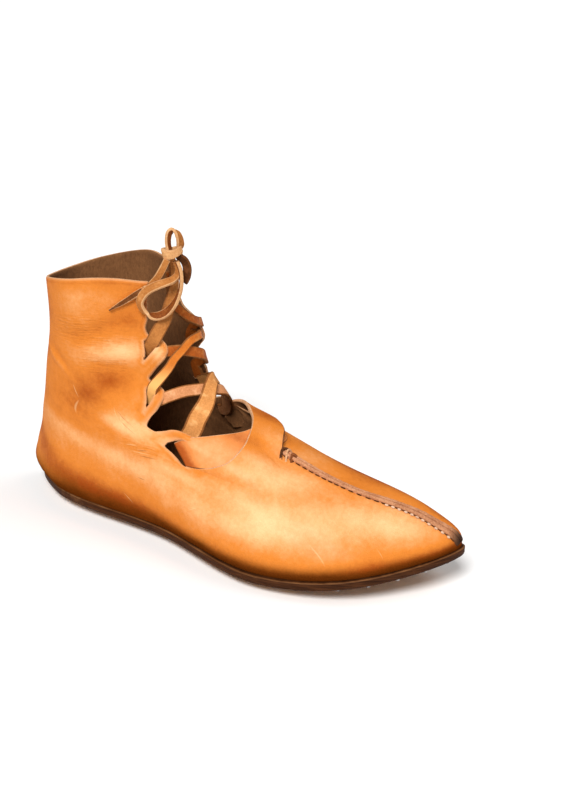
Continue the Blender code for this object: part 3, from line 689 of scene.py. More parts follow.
# Columns: height, way round of the throat's edge on the inner side above its upper loop
INNER_COLLAR = np.array([
    (126.4, 26.8), (128.6, 31.5), (131.5, 35.8), (135, 37.4), (140, 37.5), (150, 36.5), (166, 35)])
# Closed lines of the slots behind the three loops on the outer side
SLOTS = {
    "instep_slot": (
        (65.7, -83.2), (67.6, -75.5), (69.2, -66), (69.8, -60), (69.2, -56.5), (66.5, -60), (62, -74),
        (58.6, -90), (57.2, -97), (58.6, -95.4), (60.5, -91.6), (63, -87.2), (65, -84.8)),
    "lower_slot": (
        (80.4, -62.4), (83.8, -57.3), (87.1, -53.2), (90.1, -50.6), (92.8, -48.8), (95, -46.4),
        (95.4, -43.4), (93.8, -42), (88.8, -48.1), (84.2, -55.8)),
    "upper_slot": (
        (109.9, -41.7), (111.8, -40.1), (115.9, -38.2), (119.7, -37.2), (123, -36.6), (124.3, -33.8),
        (123.4, -30.4), (121.6, -28.9), (120.2, -30), (116, -34.8), (112, -39.4))}


def throat_outline():
    """Closed line of the throat: up the outer edge by a smooth curve through the table, and down the inner
    edge, which is the same line mirrored and drawn in, but stands further back above the upper loop."""
    loops = THROAT[THROAT[:, 0] < LOOPS_BELOW] * (1, -MEDIAL_SHARE)
    inner_edge = smooth_route(np.concatenate([loops, INNER_COLLAR]), 150)
    return np.concatenate([smooth_route(THROAT, 150), inner_edge[::-1]])


def along_line(height, around, line):
    """Least distance from places to a line on the flat map, and the share of the way along it."""
    line = np.asarray(line, float)
    reach = arc_length(line)
    nearest = np.full(height.shape, np.inf)
    share = np.zeros(height.shape)
    for k, run in enumerate(np.diff(line, axis=0)):
        up, over = height - line[k, 0], around - line[k, 1]
        t = np.clip((up * run[0] + over * run[1]) / (run @ run + 1e-12), 0, 1)
        away = np.hypot(up - t * run[0], over - t * run[1])
        share = np.where(away < nearest, (reach[k] + t * (reach[k + 1] - reach[k])) / reach[-1], share)
        nearest = np.minimum(nearest, away)
    return nearest, share


def inside_outline(height, around, outline):
    """Distance to a closed line, positive inside, which is where a line upwards crosses an odd number of its
    straight runs."""
    closed = np.concatenate([outline, outline[:1]])
    crossings = np.zeros(height.shape, int)
    for start, end in zip(closed, closed[1:]):
        spans = (start[1] > around) != (end[1] > around)
        level = start[0] + (around - start[1]) * (end[0] - start[0]) / ((end[1] - start[1]) or 1e-12)
        crossings += spans & (level > height)
    nearest, _ = along_line(height, around, closed)
    return np.where(crossings % 2 == 1, nearest, -nearest)


def inside_openings(height, around):
    """The greatest of the distances inside the throat and inside the three slots of each side."""
    found = inside_outline(height, around, throat_outline())
    for line in SLOTS.values():
        for side in (1, -MEDIAL_SHARE):
            found = np.maximum(found, inside_outline(height, around, np.array(line) * (1, side)))
    return found


print("throat line:", len(throat_outline()), "points")

# %% [markdown]
# ## Folds in the leather
# Walking leaves soft folds at the ankle, and pulling the lace leaves hollows beside the loops. Each is a
# short line on the flat map with a height and a width: the leather rises or sinks along it as a bell
# curve does, and fades towards its ends.

# %% Folds and tab lifts
# Name: (height over the leather, half width, places as height and way round)
FOLDS = {
    "ankle_crease": (-1.2, 4.5, ((140, -38), (132.5, -52), (126, -66), (122, -84), (121, -98))),
    "ankle_swell": (1.3, 6.5, ((116, -44), (112.5, -62), (115, -80))),
    "ankle_hollow": (-1.7, 8.0, ((104, -50), (98, -68), (89, -88), (79, -106), (70, -130))),
    "ankle_ridge": (0.9, 3.0, ((111, -118), (106, -110), (100, -101), (93, -98))),
    "ridge_shadow": (-0.8, 3.6, ((112, -106), (105, -101), (98, -94))),
    "loop_strain": (-0.7, 3.5, ((105, -50), (105, -62), (107, -76))),
    "shaft_swell": (0.9, 14.0, ((146, -92), (144, -70), (142, -48))),
    "instep_hollow": (-1.6, 8.0, ((54, -92), (48, -104), (45, -122), (46, -140))),
    "vamp_swell": (1.2, 16.0, ((40, -80), (34, -110), (32, -140))),
    "inner_ankle_crease": (-1.4, 6.0, ((128, 112), (122, 94), (118, 76))),
    "inner_ankle_swell": (1.2, 7.0, ((112, 112), (106, 96), (102, 80))),
    "inner_ankle_hollow": (-1.5, 8.0, ((98, 70), (88, 92), (78, 112))),
    "inner_waist_hollow": (-1.4, 10.0, ((54, 96), (47, 116), (44, 138)))}
# Columns: height and way round of the toe seam's middle, its roof over the skin and its half width
SEAM = np.array([
    (66, -12, 2.8, 2.1), (60, -14.8, 3.0, 2.1), (53.6, -16.5, 3.0, 2.15), (47.7, -17.1, 2.9, 2.2),
    (41.6, -14.2, 2.9, 2.4), (35, -11.4, 2.9, 2.7), (27.3, -10.2, 2.8, 3.0), (20.4, -8.4, 2.6, 3.1),
    (15, -6.6, 2.0, 2.9)])
# Columns: height and way round of a loop's middle on the outer side, its reach and how far it stands off
LOOP_LIFTS = np.array([(117, -30.5, 7.0, 2.0), (88, -46.5, 6.5, 1.6), (72.8, -53, 8.0, 1.9)])
FOLD_END, FOLD_FADE = 0.25, 0.3
SEAM_PULL, SEAM_PULL_REACH = 0.7, 5.0


def fold_height(height, around):
    """Sum of the folds: each its height times a bell curve of the distance, faded at the line's ends."""
    total = np.zeros(height.shape)
    for rise, half_width, line in FOLDS.values():
        away, share = along_line(height, around, line)
        fade = FOLD_END + (1 - FOLD_END) * smooth_step(np.minimum(share, 1 - share) / FOLD_FADE)
        total += rise * fade * np.exp(-(away / half_width) ** 2)
    return total


def relief(height, around):
    """Height of the leather over the last: the folds, the tabs that stand off, and the seam's pull."""
    total = fold_height(height, around)
    for loop_height, loop_around, reach, lift in LOOP_LIFTS:
        for side in (1, -MEDIAL_SHARE):
            away = np.hypot(height - loop_height, around - side * loop_around)
            total += lift * np.exp(-(away / reach) ** 2)
    away, _ = along_line(height, around, SEAM[:, :2])
    return total + SEAM_PULL * np.exp(-(away / SEAM_PULL_REACH) ** 2)


print("folds:", ", ".join(FOLDS))

# %% [markdown]
# ## Tan leather
# Vegetable-tanned leather is orange where it is thick, pale where it is stretched and brown where it was
# rubbed and burnished, above all along the sole. Much of the finish is painted light and shade: painted
# highlights and shade in soft patches, on folds, wrinkles and creases and beside cut edges, and painted
# shade that joins the burnish along the sole. The finish reads the flat map of the upper for all that goes
# with the form, and the place in space for clouds, grain and pores.

# %% Finishes of the upper
RAW_EDGE = (0.76, 0.44, 0.24)
# Pale scuffs, and painted highlights on the upper lips of creases. Columns: height, way round, heading in
# degrees, length, width of marks on the outer side
PALE_SCUFFS_AND_HIGHLIGHTS = np.array([
    (25.5, -85, 73, 15, 1.3), (25.5, -221, 70, 7, 1.2), (86, -103.5, 55, 13, 1.0), (75.5, -120, 22, 30, 1.0),
    (58.6, -123, 3, 24, 0.8), (62, -118, 6, 18, 0.7), (78, -84, 40, 17, 0.6), (74, -88, 28, 18, 0.6),
    (22.4, -53, 70, 8, 0.5), (36, -150, 15, 12, 0.6)])
# Painted shadows in creases, just below the painted highlights on their lips; the same columns
CREASE_SHADOW_MARKS = np.array([
    (42, -178, 0, 7, 1.0), (57, -123, 3, 20, 0.7), (76, -82, 60, 12, 0.6), (72, -90, 44, 14, 0.6),
    (60.2, -116, 8, 16, 0.6)])


def marks(flat, table):
    """The sum of thin marks, each at its place and heading on the flat map."""
    total = None
    for height, around, heading, length, width in table:
        mark = flat.mark((around / 100, height / 100), math.radians(heading), length / 100, width / 100)
        total = mark if total is None else total + mark
    return total


def tan_finish(name, deep, middle, fair):
    """Colour from deep over middle to fair by clouds of three sizes and the painted tone, which is mostly
    painted light and shade; brown towards the sole by burnish and painted shade, paler at raw edges, with
    pale scuffs, and painted highlights and shadows along creases and wrinkles. Grain is the gaps between
    small cells, with pores and level wrinkles."""
    finish, place = new_finish(name, Roughness=0.46, Specular_IOR_Level=0.0, Coat_Roughness=0.36)
    flat = place.node("UVMap", {"uv_map": "flat"})
    tone, burnish_and_shade, edge, wrinkle = (place.node("Attribute", {"attribute_name": number}, out=2)
                                    for number in ("tone", "burnish_and_shade", "edge", "wrinkle"))
    cloud = place.noise(16.0, 3.0, 0.5)
    blotch = place.noise(70.0, 4.0, 0.6)
    fine = place.noise(420.0, 3.0, 0.6)
    line = flat.noise(1.0, 3.0, 0.6, (9.0, 80.0, 1.0))
    # Level wrinkles: the streaks tilt the grain and carry painted highlight on the ridges and painted shade
    # in the grooves.
    pleat_and_shade = wrinkle * (line - 0.5)
    shade = 0.5 + tone * 0.66 + (cloud - 0.5) * 0.36 + (blotch - 0.5) * 0.30
    shade = shade + (fine - 0.5) * 0.18 + pleat_and_shade * 0.40
    colour = shade.rise(0.05, 0.52).mix(deep, middle)
    colour = shade.rise(0.46, 1.02).mix(colour, fair)
    # Brown towards the sole: burnish together with painted shade low on the upper.
    rub_and_shade = (burnish_and_shade + (blotch - 0.5) * 0.5 + (cloud - 0.5) * 0.3).rise(0.15, 1.0)
    colour = rub_and_shade.mix(colour, (0.125, 0.028, 0.003))
    colour = (edge * 0.5).mix(colour, RAW_EDGE)
    # Pale scuffs with painted highlights on crease lips, and painted shadows in the creases below them.
    pale = marks(flat, PALE_SCUFFS_AND_HIGHLIGHTS)
    dark = marks(flat, CREASE_SHADOW_MARKS)
    colour = (pale * 0.32).mix(colour, (0.95, 0.62, 0.30))
    colour = (dark * 0.35).mix(colour, (0.30, 0.09, 0.02))
    rough = 0.44 + (blotch - 0.5) * 0.22 + (fine - 0.5) * 0.14 + pale * 0.2 - rub_and_shade * 0.06
    coat = (0.13 + (blotch - 0.5) * 0.12) * (1.0 - rub_and_shade) ** 2.0
    grain = place.cells(1100.0).rise(0.0, 0.22) * 0.55 + place.noise(1900.0, 2.0) * 0.35 + fine * 0.5
    grain = grain + blotch * 0.9 + pleat_and_shade * 5.0 - dark * 1.2 + pale * 0.5
    return wear(finish, colour, grain, 0.00022, Roughness=rough, Coat_Weight=coat)


def flesh_finish(name):
    """The inside of the hide: fawn fibres in short streaks, dull and rough."""
    finish, place = new_finish(name, Roughness=0.92, Specular_IOR_Level=0.2)
    fibre = place.noise(700.0, 4.0, 0.7, (1.0, 1.0, 0.45))
    cloud = place.noise(28.0, 3.0)
    colour = (cloud * 0.7 + fibre * 0.55).rise(0.3, 0.9).mix((0.11, 0.042, 0.014), (0.27, 0.115, 0.041))
    return wear(finish, colour, fibre, 0.0006)


def raw_finish(name, deep, fair):
    """A cut edge: the layers of the hide as fine streaks, paler than the grain and dull."""
    finish, place = new_finish(name, Roughness=0.8, Specular_IOR_Level=0.08)
    streak = place.noise(1300.0, 3.0, 0.65)
    colour = (streak * 0.8 + place.noise(120.0, 3.0) * 0.5).rise(0.35, 0.9).mix(deep, fair)
    return wear(finish, colour, streak, 0.0004)


tan_leather = tan_finish("tan_leather", (0.35, 0.062, 0.005), (0.70, 0.215, 0.030), (0.95, 0.550, 0.262))
rosy_leather = tan_finish("rosy_leather", (0.40, 0.085, 0.014), (0.76, 0.255, 0.066), (0.95, 0.540, 0.270))
flesh_side = flesh_finish("flesh_side")
raw_edge = raw_finish("raw_edge", (0.42, 0.18, 0.07), RAW_EDGE)
# Dark raw edge together with painted shade under it, for the far edges of the straps and a loose thread
dark_edge_and_shade = raw_finish("dark_edge_and_shade", (0.09, 0.026, 0.008), (0.30, 0.095, 0.030))
print("upper finishes:", tan_leather.name, flesh_side.name, raw_edge.name)

# %% [markdown]
# ## Upper
# The upper is one sheet with a real thickness. Its grid has rings for rows, closer together where the
# throat is. The grid points beside an opening are moved onto its line, so the cut edges come out clean,
# and a second skin inside, joined along every edge, makes the wall.

# %% Grid of the upper
FINE_FROM, FINE_TO = 56, 130
GRID_CROWDING = 0.05
heights = np.concatenate([np.linspace(SOLE_TOP + GAP, FINE_FROM, 30, endpoint=False),
                          np.linspace(FINE_FROM, FINE_TO, 84, endpoint=False),
                          np.linspace(FINE_TO, COLLAR, 24)])
turns = np.linspace(-1, 1, 361)[:-1]
shares = turns - GRID_CROWDING * np.sin(2 * math.pi * turns)


def grid_places(row, column):
    """Height and way round at a grid place, whole or between; the way is a share of its half girth."""
    height = np.interp(row, np.arange(len(heights)), heights)
    share = np.interp(column, np.arange(len(shares)), shares)
    return height, share * half_girth(height, (share > 0).astype(int))


def fit_to_openings():
    """Grid places moved onto the openings' lines, and each one's side: -1 leather, 0 edge, 1 opening.
    A place within half a cell of a line moves by the distance over the steepness, along the steepest way."""
    row, column = np.meshgrid(np.arange(len(heights), dtype=float), np.arange(len(shares), dtype=float),
                              indexing="ij")
    inside = inside_openings(*grid_places(row, column))
    by_row, by_column = np.gradient(inside)
    steep = by_row ** 2 + by_column ** 2 + 1e-9
    near = np.abs(inside) < 0.5 * np.sqrt(steep)
    for _ in range(2):
        row = np.where(near, np.clip(row - inside * by_row / steep, 0, len(heights) - 1), row)
        column = np.where(near, column - inside * by_column / steep, column)
        inside = inside_openings(*grid_places(row, column))
    return row, column, np.where(near, 0, np.sign(inside)).astype(int), inside


def leather_faces(side, inside):
    """Cells on the leather; a cell that a line cuts from corner to corner keeps its leather half."""
    corners = grid_faces(*side.shape)
    sides = side.ravel()[corners]
    middle = inside.ravel()[corners].mean(axis=1)
    whole = (sides.max(axis=1) <= 0) & ((sides.min(axis=1) < 0) | (middle < 0))
    cut = (sides.max(axis=1) > 0) & (sides.min(axis=1) < 0)
    halves = []
    for keep, a, b, c in ((0, 3, 0, 1), (1, 0, 1, 2), (2, 1, 2, 3), (3, 2, 3, 0)):
        fits = cut & (sides[:, keep] < 0) & (sides[:, a] == 0) & (sides[:, c] == 0)
        halves.append(corners[fits][:, [a, b, c]])
    return corners[whole], np.concatenate(halves)


row, column, side, inside = fit_to_openings()
upper_height, upper_around = grid_places(row, column)
rim = np.minimum(-inside, COLLAR - upper_height)
quads, triangles = leather_faces(side, inside)
print("upper cells:", len(quads), "whole,", len(triangles), "halved")

# %% Wall of the upper
ROUNDED_BY, ROUNDED_WITHIN = 0.5, 1.1


def open_edges(faces):
    """Edges that only one face has, in that face's direction."""
    pairs = np.concatenate([np.stack([f[:, k], np.roll(f, -1, axis=1)[:, k]], axis=1)
                            for f in faces for k in range(f.shape[1])])
    span = pairs.max() + 1
    forward = pairs[:, 0].astype(np.int64) * span + pairs[:, 1]
    backward = pairs[:, 1].astype(np.int64) * span + pairs[:, 0]
    return pairs[~np.isin(forward, backward)]


def upper_skins():
    """Outer and inner skin: the relief, drawn in a little at every rim so that the edges are rounded."""
    rounding = ROUNDED_BY * (1 - np.clip(rim / ROUNDED_WITHIN, 0, 1)) ** 2
    outer_lift = relief(upper_height, upper_around)
    outer = skin(upper_height, upper_around, outer_lift - rounding)
    inner = skin(upper_height, upper_around, outer_lift - WALL + rounding)
    return outer.reshape(-1, 3), inner.reshape(-1, 3)


def used_only(points, groups):
    """Points that some face uses, and the faces with the points' new numbers."""
    used = np.unique(np.concatenate([group.ravel() for group in groups]))
    number = np.zeros(len(points), int)
    number[used] = np.arange(len(used))
    return used, [number[group] for group in groups]


outer, inner = upper_skins()
edges = open_edges([quads, triangles])
shift = len(outer)
rim_faces = np.stack([edges[:, 1], edges[:, 0], edges[:, 0] + shift, edges[:, 1] + shift], axis=1)
groups = [quads, triangles, quads[:, ::-1] + shift, triangles[:, ::-1] + shift, rim_faces]
kinds = np.repeat([0, 0, 1, 1, 2], [len(group) for group in groups])
both = np.concatenate([outer, inner])
used, groups = used_only(both, groups)
upper = new_piece("upper_leather", both[used], sum((group.tolist() for group in groups), []),
                  [tan_leather, flesh_side, raw_edge], kinds, sharp=70)
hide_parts("upper")

# %% [markdown]
# The finish needs to know where it is on the boot. The flat map stores the height and the way round for
# each corner of each face, so that the line at the back, where outer meets inner, has no smear. Four more
# numbers at each point hold the painted tone, which is mostly painted light and shade, the burnish and
# painted shade that rise from the sole, how wrinkled the leather is there, and how near a cut edge is.

# %% Flat map, tone, burnish and painted shade of the upper
# Soft patches of painted highlight and painted shade, a few of them the leather's own paler or darker tone.
# Columns: height, way round, reach in height, reach round, tone of a patch
LIGHT_SHADE_AND_TONE_PATCHES = np.array([
    (48, -155, 13, 42, 0.42), (54, -185, 12, 28, 0.16), (40, -85, 12, 34, 0.40), (40, -42, 10, 22, 0.32),
    (31, -120, 9, 40, 0.10), (15, -140, 7, 60, -0.30), (14, -62, 6, 34, -0.45), (20, -225, 9, 34, -0.45),
    (52, -280, 34, 22, -0.42), (26, -262, 10, 28, -0.28), (109, -120, 14, 14, -0.25),
    (142, -106, 16, 16, -0.38), (156, -62, 5, 50, -0.12), (146, -34, 10, 12, -0.18),
    (116, -52, 6, 16, 0.42), (112, -80, 6, 14, 0.12), (86, -92, 10, 18, -0.22), (99, -58, 7, 14, -0.10),
    (73, -93, 8, 20, 0.25), (70, -150, 12, 24, -0.12), (18, -19, 7, 14, 0.10), (54, 4, 12, 12, -0.04),
    (40, 20, 14, 20, -0.28), (61, 6, 6, 8, 0.12), (53, -101, 6, 14, -0.16), (57, -30, 6, 12, 0.15),
    (31, -30, 8, 14, 0.30), (10, -33, 5, 24, -0.35), (30, 150, 14, 60, 0.20), (60, 130, 16, 40, 0.15),
    (110, 90, 16, 40, 0.10), (140, 90, 14, 50, -0.10), (14, 150, 7, 120, -0.30), (117.5, -30, 7, 5, 0.45),
    (88, -46, 6, 5, 0.05), (13, -7, 6, 9, -0.55), (70, -94, 9, 22, 0.32), (52, -106, 6, 22, 0.40),
    (58, -50, 5, 22, 0.40), (63.2, -52, 4, 8, -0.12), (27, -112, 6, 42, -0.10), (66, -166, 16, 30, -0.12),
    (133, -41, 6, 7, -0.25), (146, -52, 6, 12, 0.12), (97, -65, 6, 11, -0.22), (109, -68, 5, 16, 0.12),
    (72.3, -73, 5, 9, 0.25), (68, -44, 6, 15, 0.30), (68, -13, 8, 9, 0.25), (12, -24, 6, 14, -0.25),
    (51, 15, 7, 9, -0.28), (43, 6, 6, 7, -0.18), (31, 3, 7, 7, -0.42), (23, 1, 5, 6, -0.35),
    (94.5, -74, 5, 9, -0.14), (80, -105, 8, 14, -0.10), (76, -119, 7, 12, -0.28), (88, -55, 5, 6, 0.16),
    (65.5, -57, 5, 7, 0.22), (71, -20, 5, 9, -0.50), (74, 9, 4, 8, -0.30), (70.5, 12, 2.5, 6, -0.20),
    (33, -165, 6, 30, 0.15), (61.5, -4, 4, 6, 0.10), (56.5, -8, 5, 5, 0.10)])
# Columns: way round, height of the burnish and painted shade there
BURNISH_AND_SHADE = np.array([(-340, 18), (-300, 18), (-240, 16.5), (-180, 10.5), (-120, 8.5), (-60, 6.5), (0, 5.5),
                    (60, 8), (140, 9), (220, 10), (300, 12)])
# Columns: height, way round, reach in height, reach round of a wrinkled place
WRINKLED = np.array([
    (121, -68, 7, 34), (131, -80, 5, 30), (106, -70, 5, 24), (121, 74, 7, 34), (62, -110, 4, 22)])
# Painted highlight on fold ridges and painted shade in fold hollows, per millimetre of the fold's height
FOLD_LIGHT_AND_SHADE = 0.12
# Painted shade in a soft line beside every cut edge: how far in, its half width and how much darker
RIM_SHADE_AT, RIM_SHADE_HALF, RIM_SHADE_TONE = 2.2, 0.9, 0.15
RAW_REACH = 0.75
# A face that spans more of the way round than this crosses the line at the back
MOST_SPAN = 150


def bells(height, around, table):
    """A bell curve round each of a table's places, of the distance counted in its own reaches."""
    away = (((height[..., None] - table[:, 0]) / table[:, 2]) ** 2
            + ((around[..., None] - table[:, 1]) / table[:, 3]) ** 2)
    return np.exp(-away)


def painted_light_shade_and_tone(height, around):
    """Painted highlights and painted shade, with a little of the leather's own tone: the sum of soft patches,
    each its tone times its bell, and the folds, with painted highlight on a ridge and painted shade in a
    hollow.
    """
    return bells(height, around, LIGHT_SHADE_AND_TONE_PATCHES) @ LIGHT_SHADE_AND_TONE_PATCHES[:, 4] + FOLD_LIGHT_AND_SHADE * fold_height(height, around)


def sole_burnish_and_shade(height, around):
    """Burnish and painted shade: 1 at the sole, falling as the bell of the height over it against the
    table's reach.
    """
    reach = np.interp(around, BURNISH_AND_SHADE[:, 0], BURNISH_AND_SHADE[:, 1])
    return np.exp(-((height - SOLE_TOP) / reach) ** 2)


def flat_corners(piece, height, around):
    """Way round and height of every face corner, in tenths of a metre; beyond the back the way goes on."""
    corner = np.empty(len(piece.data.loops), np.int32)
    piece.data.loops.foreach_get("vertex_index", corner)
    first = np.empty(len(piece.data.polygons), np.int32)
    piece.data.polygons.foreach_get("loop_start", first)
    face = np.repeat(np.arange(len(first)), np.diff(np.append(first, len(corner))))
    way = around[corner]
    widest = np.maximum.reduceat(way, first)[face]
    wraps = (widest - np.minimum.reduceat(way, first)[face]) > MOST_SPAN
    way = np.where(wraps & (way < 0), half_girth(height[corner], 1), way)
    return np.column_stack([way, height[corner]]) / 100


both_height, both_around, both_rim = (np.tile(numbers.ravel(), 2)[used]
                                      for numbers in (upper_height, upper_around, rim))
add_map(upper, "flat", flat_corners(upper, both_height, both_around))
# Painted shade beside the cut edges is taken off the tone.
rim_shade_line = np.exp(-((both_rim - RIM_SHADE_AT) / RIM_SHADE_HALF) ** 2)
# The tone is mostly painted highlight and painted shade, some of it the leather's own tone.
add_numbers(upper, "tone", painted_light_shade_and_tone(both_height, both_around) - RIM_SHADE_TONE * rim_shade_line)
add_numbers(upper, "burnish_and_shade", sole_burnish_and_shade(both_height, both_around))
add_numbers(upper, "wrinkle", bells(both_height, both_around, WRINKLED).sum(axis=-1))
add_numbers(upper, "edge", np.exp(-(np.maximum(both_rim, 0) / RAW_REACH) ** 2))

# %% [markdown]
# ## Straps on the instep
# The outer side of the upper runs on as a strap over the instep to a slot on the inner side. A strap from
# the inner side passes under it and into the outer slot. Both lie on the skin, so a strap is a table of
# its two edges with the heights of its floor and roof, swept as a rounded box between them.

# %% Straps
# Columns: height and way round of edge a, of edge b, then floor and roof over the skin at a and at b
UNDER_STRAP = np.array([
    (67.6, -72.0, 57.6, -97.0, -13.0, -10.0, -13.0, -10.0),
    (68.0, -71.5, 57.6, -96.5, -8.0, -5.6, -7.0, -4.6),
    (68.5, -68.5, 57.6, -94.0, -4.4, -2.0, -2.2, 0.1),
    (70.0, -60, 57.6, -87.0, -3.2, -0.9, -1.3, 1.0),
    (71.3, -51, 58.0, -79, -0.8, 1.6, -1.2, 1.1),
    (72.2, -42, 58.8, -69, -0.9, 1.4, -1.2, 1.0),
    (72.8, -30, 60.8, -54.5, -0.9, 1.4, -1.3, 0.8),
    (73.2, -15, 64.5, -38, -1.2, 1.0, -1.4, 0.6),
    (74.0, -2, 67.0, -14, -1.8, 0.4, -1.8, 0.4),
    (73.5, 16, 67.0, 8, -2.2, 0.0, -2.2, 0.0),
    (72.0, 34, 65.0, 26, -2.4, -0.2, -2.4, -0.2)])
OVER_STRAP = np.array([
    (57.6, -91, 50.0, -66, -1.8, -0.2, -1.8, -0.25),
    (58.0, -85, 50.6, -60, -1.2, 0.9, -1.8, -0.25),
    (58.5, -78, 51.6, -53, -0.4, 1.8, -1.8, -0.25),
    (59.6, -70, 53.2, -46, 0.4, 2.5, -1.8, -0.25),
    (62.0, -55, 55.6, -38, 0.8, 3.0, -1.8, -0.25),
    (67.4, -30.2, 59.5, -28, 0.9, 3.1, -1.6, -0.15),
    (70.0, -20, 62.4, -21, 0.8, 3.0, -1.8, -0.3),
    (73.2, -9, 65.5, -11.4, 0.7, 2.9, 2.2, 4.5),
    (76.5, 1, 67.8, -2, 0.6, 2.8, 3.1, 5.4),
    (78.0, 8, 68.8, 7.1, 0.5, 2.7, 3.2, 5.5),
    (78.0, 18, 69.4, 15, 0.3, 2.5, 2.8, 5.1),
    (76.2, 32, 67.6, 30, -0.5, 1.7, 0.6, 2.9),
    (73.0, 47, 64.0, 49, -0.8, 1.4, -0.3, 2.0),
    (70.0, 58, 60.5, 68, -1.2, 1.0, -0.9, 1.4),
    (66.0, 69, 57.6, 84, -3.4, -1.2, -2.6, -0.4),
    (64.5, 73, 57.6, 89, -5.8, -3.6, -5.6, -3.4)])
# Painted shade where a strap comes out of its slot: the rows over which it fades, and how much darker
SLOT_SHADE_ROWS, SLOT_SHADE_TONE = 1.6, 0.8


def strap_places(rows, steps, outline):
    """Height, way round and lift of a strap's grid: the table's rows joined smoothly, a straight run from
    edge a to edge b, and lifts from floor to roof that are eased from a to b."""
    way = smooth_rows(rows, steps)
    height_a, round_a, height_b, round_b, floor_a, roof_a, floor_b, roof_b = way.T[:, :, None]
    across, through = outline.T
    eased = smooth_step(across)
    floor = floor_a + eased * (floor_b - floor_a)
    roof = roof_a + eased * (roof_b - roof_a)
    return (height_a + across * (height_b - height_a), round_a + across * (round_b - round_a),
            floor + through * (roof - floor))


def new_strap(name, rows, steps, outline, finishes, slot_shade_to=0.0):
    """A strap on the skin, with the flat map and the painted tone of the upper, mostly light and shade. Its
    finishes are those of the roof, the floor and the edges a and b. Its first rows, up to the row given, are
    darker with painted shade where the strap comes out of its slot."""
    height, around, lift = strap_places(rows, steps, outline)
    points = skin(height, around, lift + fold_height(height, around))
    faces = tube_faces(steps + 1, len(outline))
    kinds = side_kinds(outline)
    kinds = np.where((kinds == 2) & (outline[:, 0] > 0.5), 3, kinds)
    piece = new_piece(name, points, faces, finishes, np.append(np.tile(kinds, steps), [2, 2]), sharp=60)
    add_map(piece, "flat", flat_corners(piece, height.ravel(), around.ravel()))
    # Painted shade on the first rows, where the strap comes out of its slot
    slot_shade = 1 - smooth_step((np.linspace(0, len(rows) - 1, steps + 1)[:, None] - slot_shade_to) / SLOT_SHADE_ROWS + 1)
    add_numbers(piece, "tone", painted_light_shade_and_tone(height, around) - SLOT_SHADE_TONE * slot_shade)
    add_numbers(piece, "burnish_and_shade", np.zeros(height.size))
    add_numbers(piece, "edge", np.zeros(height.size))
    return piece


strap_outline = box_outline(19, 4, 0.035, 0.42)
# Edge b of each strap is darker: partly its own dark raw edge, partly painted shade under it.
under_strap = new_strap("under_strap", UNDER_STRAP, 110, strap_outline,
                        [rosy_leather, flesh_side, raw_edge, dark_edge_and_shade], slot_shade_to=3.8)
over_strap = new_strap("over_strap", OVER_STRAP, 150, strap_outline,
                       [tan_leather, flesh_side, raw_edge, dark_edge_and_shade])
for strap in (under_strap, over_strap):
    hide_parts("upper")

# %% [markdown]
# ## Toe seam
# Down the toe the two sides of the upper stand up against each other and are sewn through. What shows is
# a ridge of two raw edges with a groove between them, along its foot the stitch holes, dark with painted
# shade, and pale thread further down, and at its upper end three loose ends of thread. Each edge is a narrow
# strap on the skin whose width swells between the stitches.

# %% Seam
STITCH = 4.2
GROOVE_HALF, SWELL = 0.06, 0.30
WAVE_RISE, WAVE_REACH = 0.25, 9.0
OUTER_LOWER, FOOT_LOWER = 0.25, 0.35


def seam_finish():
    """The seam's raw edges: fine streaks of rosy brown that darken towards the toe and turn nearly black at
    its tip.
    """
    finish, place = new_finish("seam_edge", Roughness=0.8, Specular_IOR_Level=0.10)
    forward = place.node("SeparateXYZ", None, {0: place})
    streak = place.noise(1100.0, 3.0, 0.65)
    streaks = (streak * 0.8 + place.noise(150.0, 3.0) * 0.5).rise(0.35, 0.9)
    colour = streaks.mix((0.36, 0.125, 0.050), (0.74, 0.36, 0.185))
    colour = (forward.rise(0.02, 0.15) * 0.28).mix(colour, (0.20, 0.070, 0.026))
    colour = forward.rise(0.140, 0.1475).mix(colour, (0.035, 0.014, 0.007))
    return wear(finish, colour, streak, 0.0006)


seam_edge = seam_finish()
pit_finish = raw_finish("stitch_pit", (0.045, 0.015, 0.005), (0.14, 0.048, 0.016))
thread_finish = raw_finish("pale_thread", (0.42, 0.22, 0.12), (0.86, 0.60, 0.42))


def seam_line(steps):
    """The seam's middle on the flat map, its lift, its sideways direction and the distance along it."""
    line = smooth_rows(SEAM, steps)
    points = skin(line[:, 0], line[:, 1], 0.0)
    heading = unit(np.gradient(line[:, :2], axis=0))
    return line, np.column_stack([-heading[:, 1], heading[:, 0]]), arc_length(points)


def seam_rows(side, steps):
    """Strap rows of one raw edge: from the groove outwards, wider between stitches than at them."""
    line, sideways, reach = seam_line(steps)
    swell = SWELL * np.abs(np.sin(math.pi * reach / STITCH)) - SWELL / 2
    outer = line[:, :2] + side * (line[:, 3] + swell)[:, None] * sideways
    groove = line[:, :2] + side * GROOVE_HALF * sideways
    roof = line[:, 2] + WAVE_RISE * np.sin(reach / WAVE_REACH) - (OUTER_LOWER if side > 0 else 0.0)
    floor = np.full(len(line), -1.0)
    return np.column_stack([groove, outer, floor, roof, floor, roof - FOOT_LOWER])


seam_outline = box_outline(7, 5, 0.30, 0.20)
SEAM_STEPS = 220
for side, name in ((1, "seam_edge_outer"), (-1, "seam_edge_inner")):
    edge = new_strap(name, seam_rows(side, SEAM_STEPS), SEAM_STEPS, seam_outline, [seam_edge] * 4)
    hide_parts("upper")

# %% Stitches


def turned(radius, height, spokes):
    """A profile turned round its axis: at each of its heights a ring of so many points."""
    turn = np.linspace(0, 2 * math.pi, spokes, endpoint=False)
    return np.stack([np.outer(radius, np.cos(turn)), np.outer(radius, np.sin(turn)),
                     np.outer(height, np.ones(spokes))], axis=-1).reshape(-1, 3)


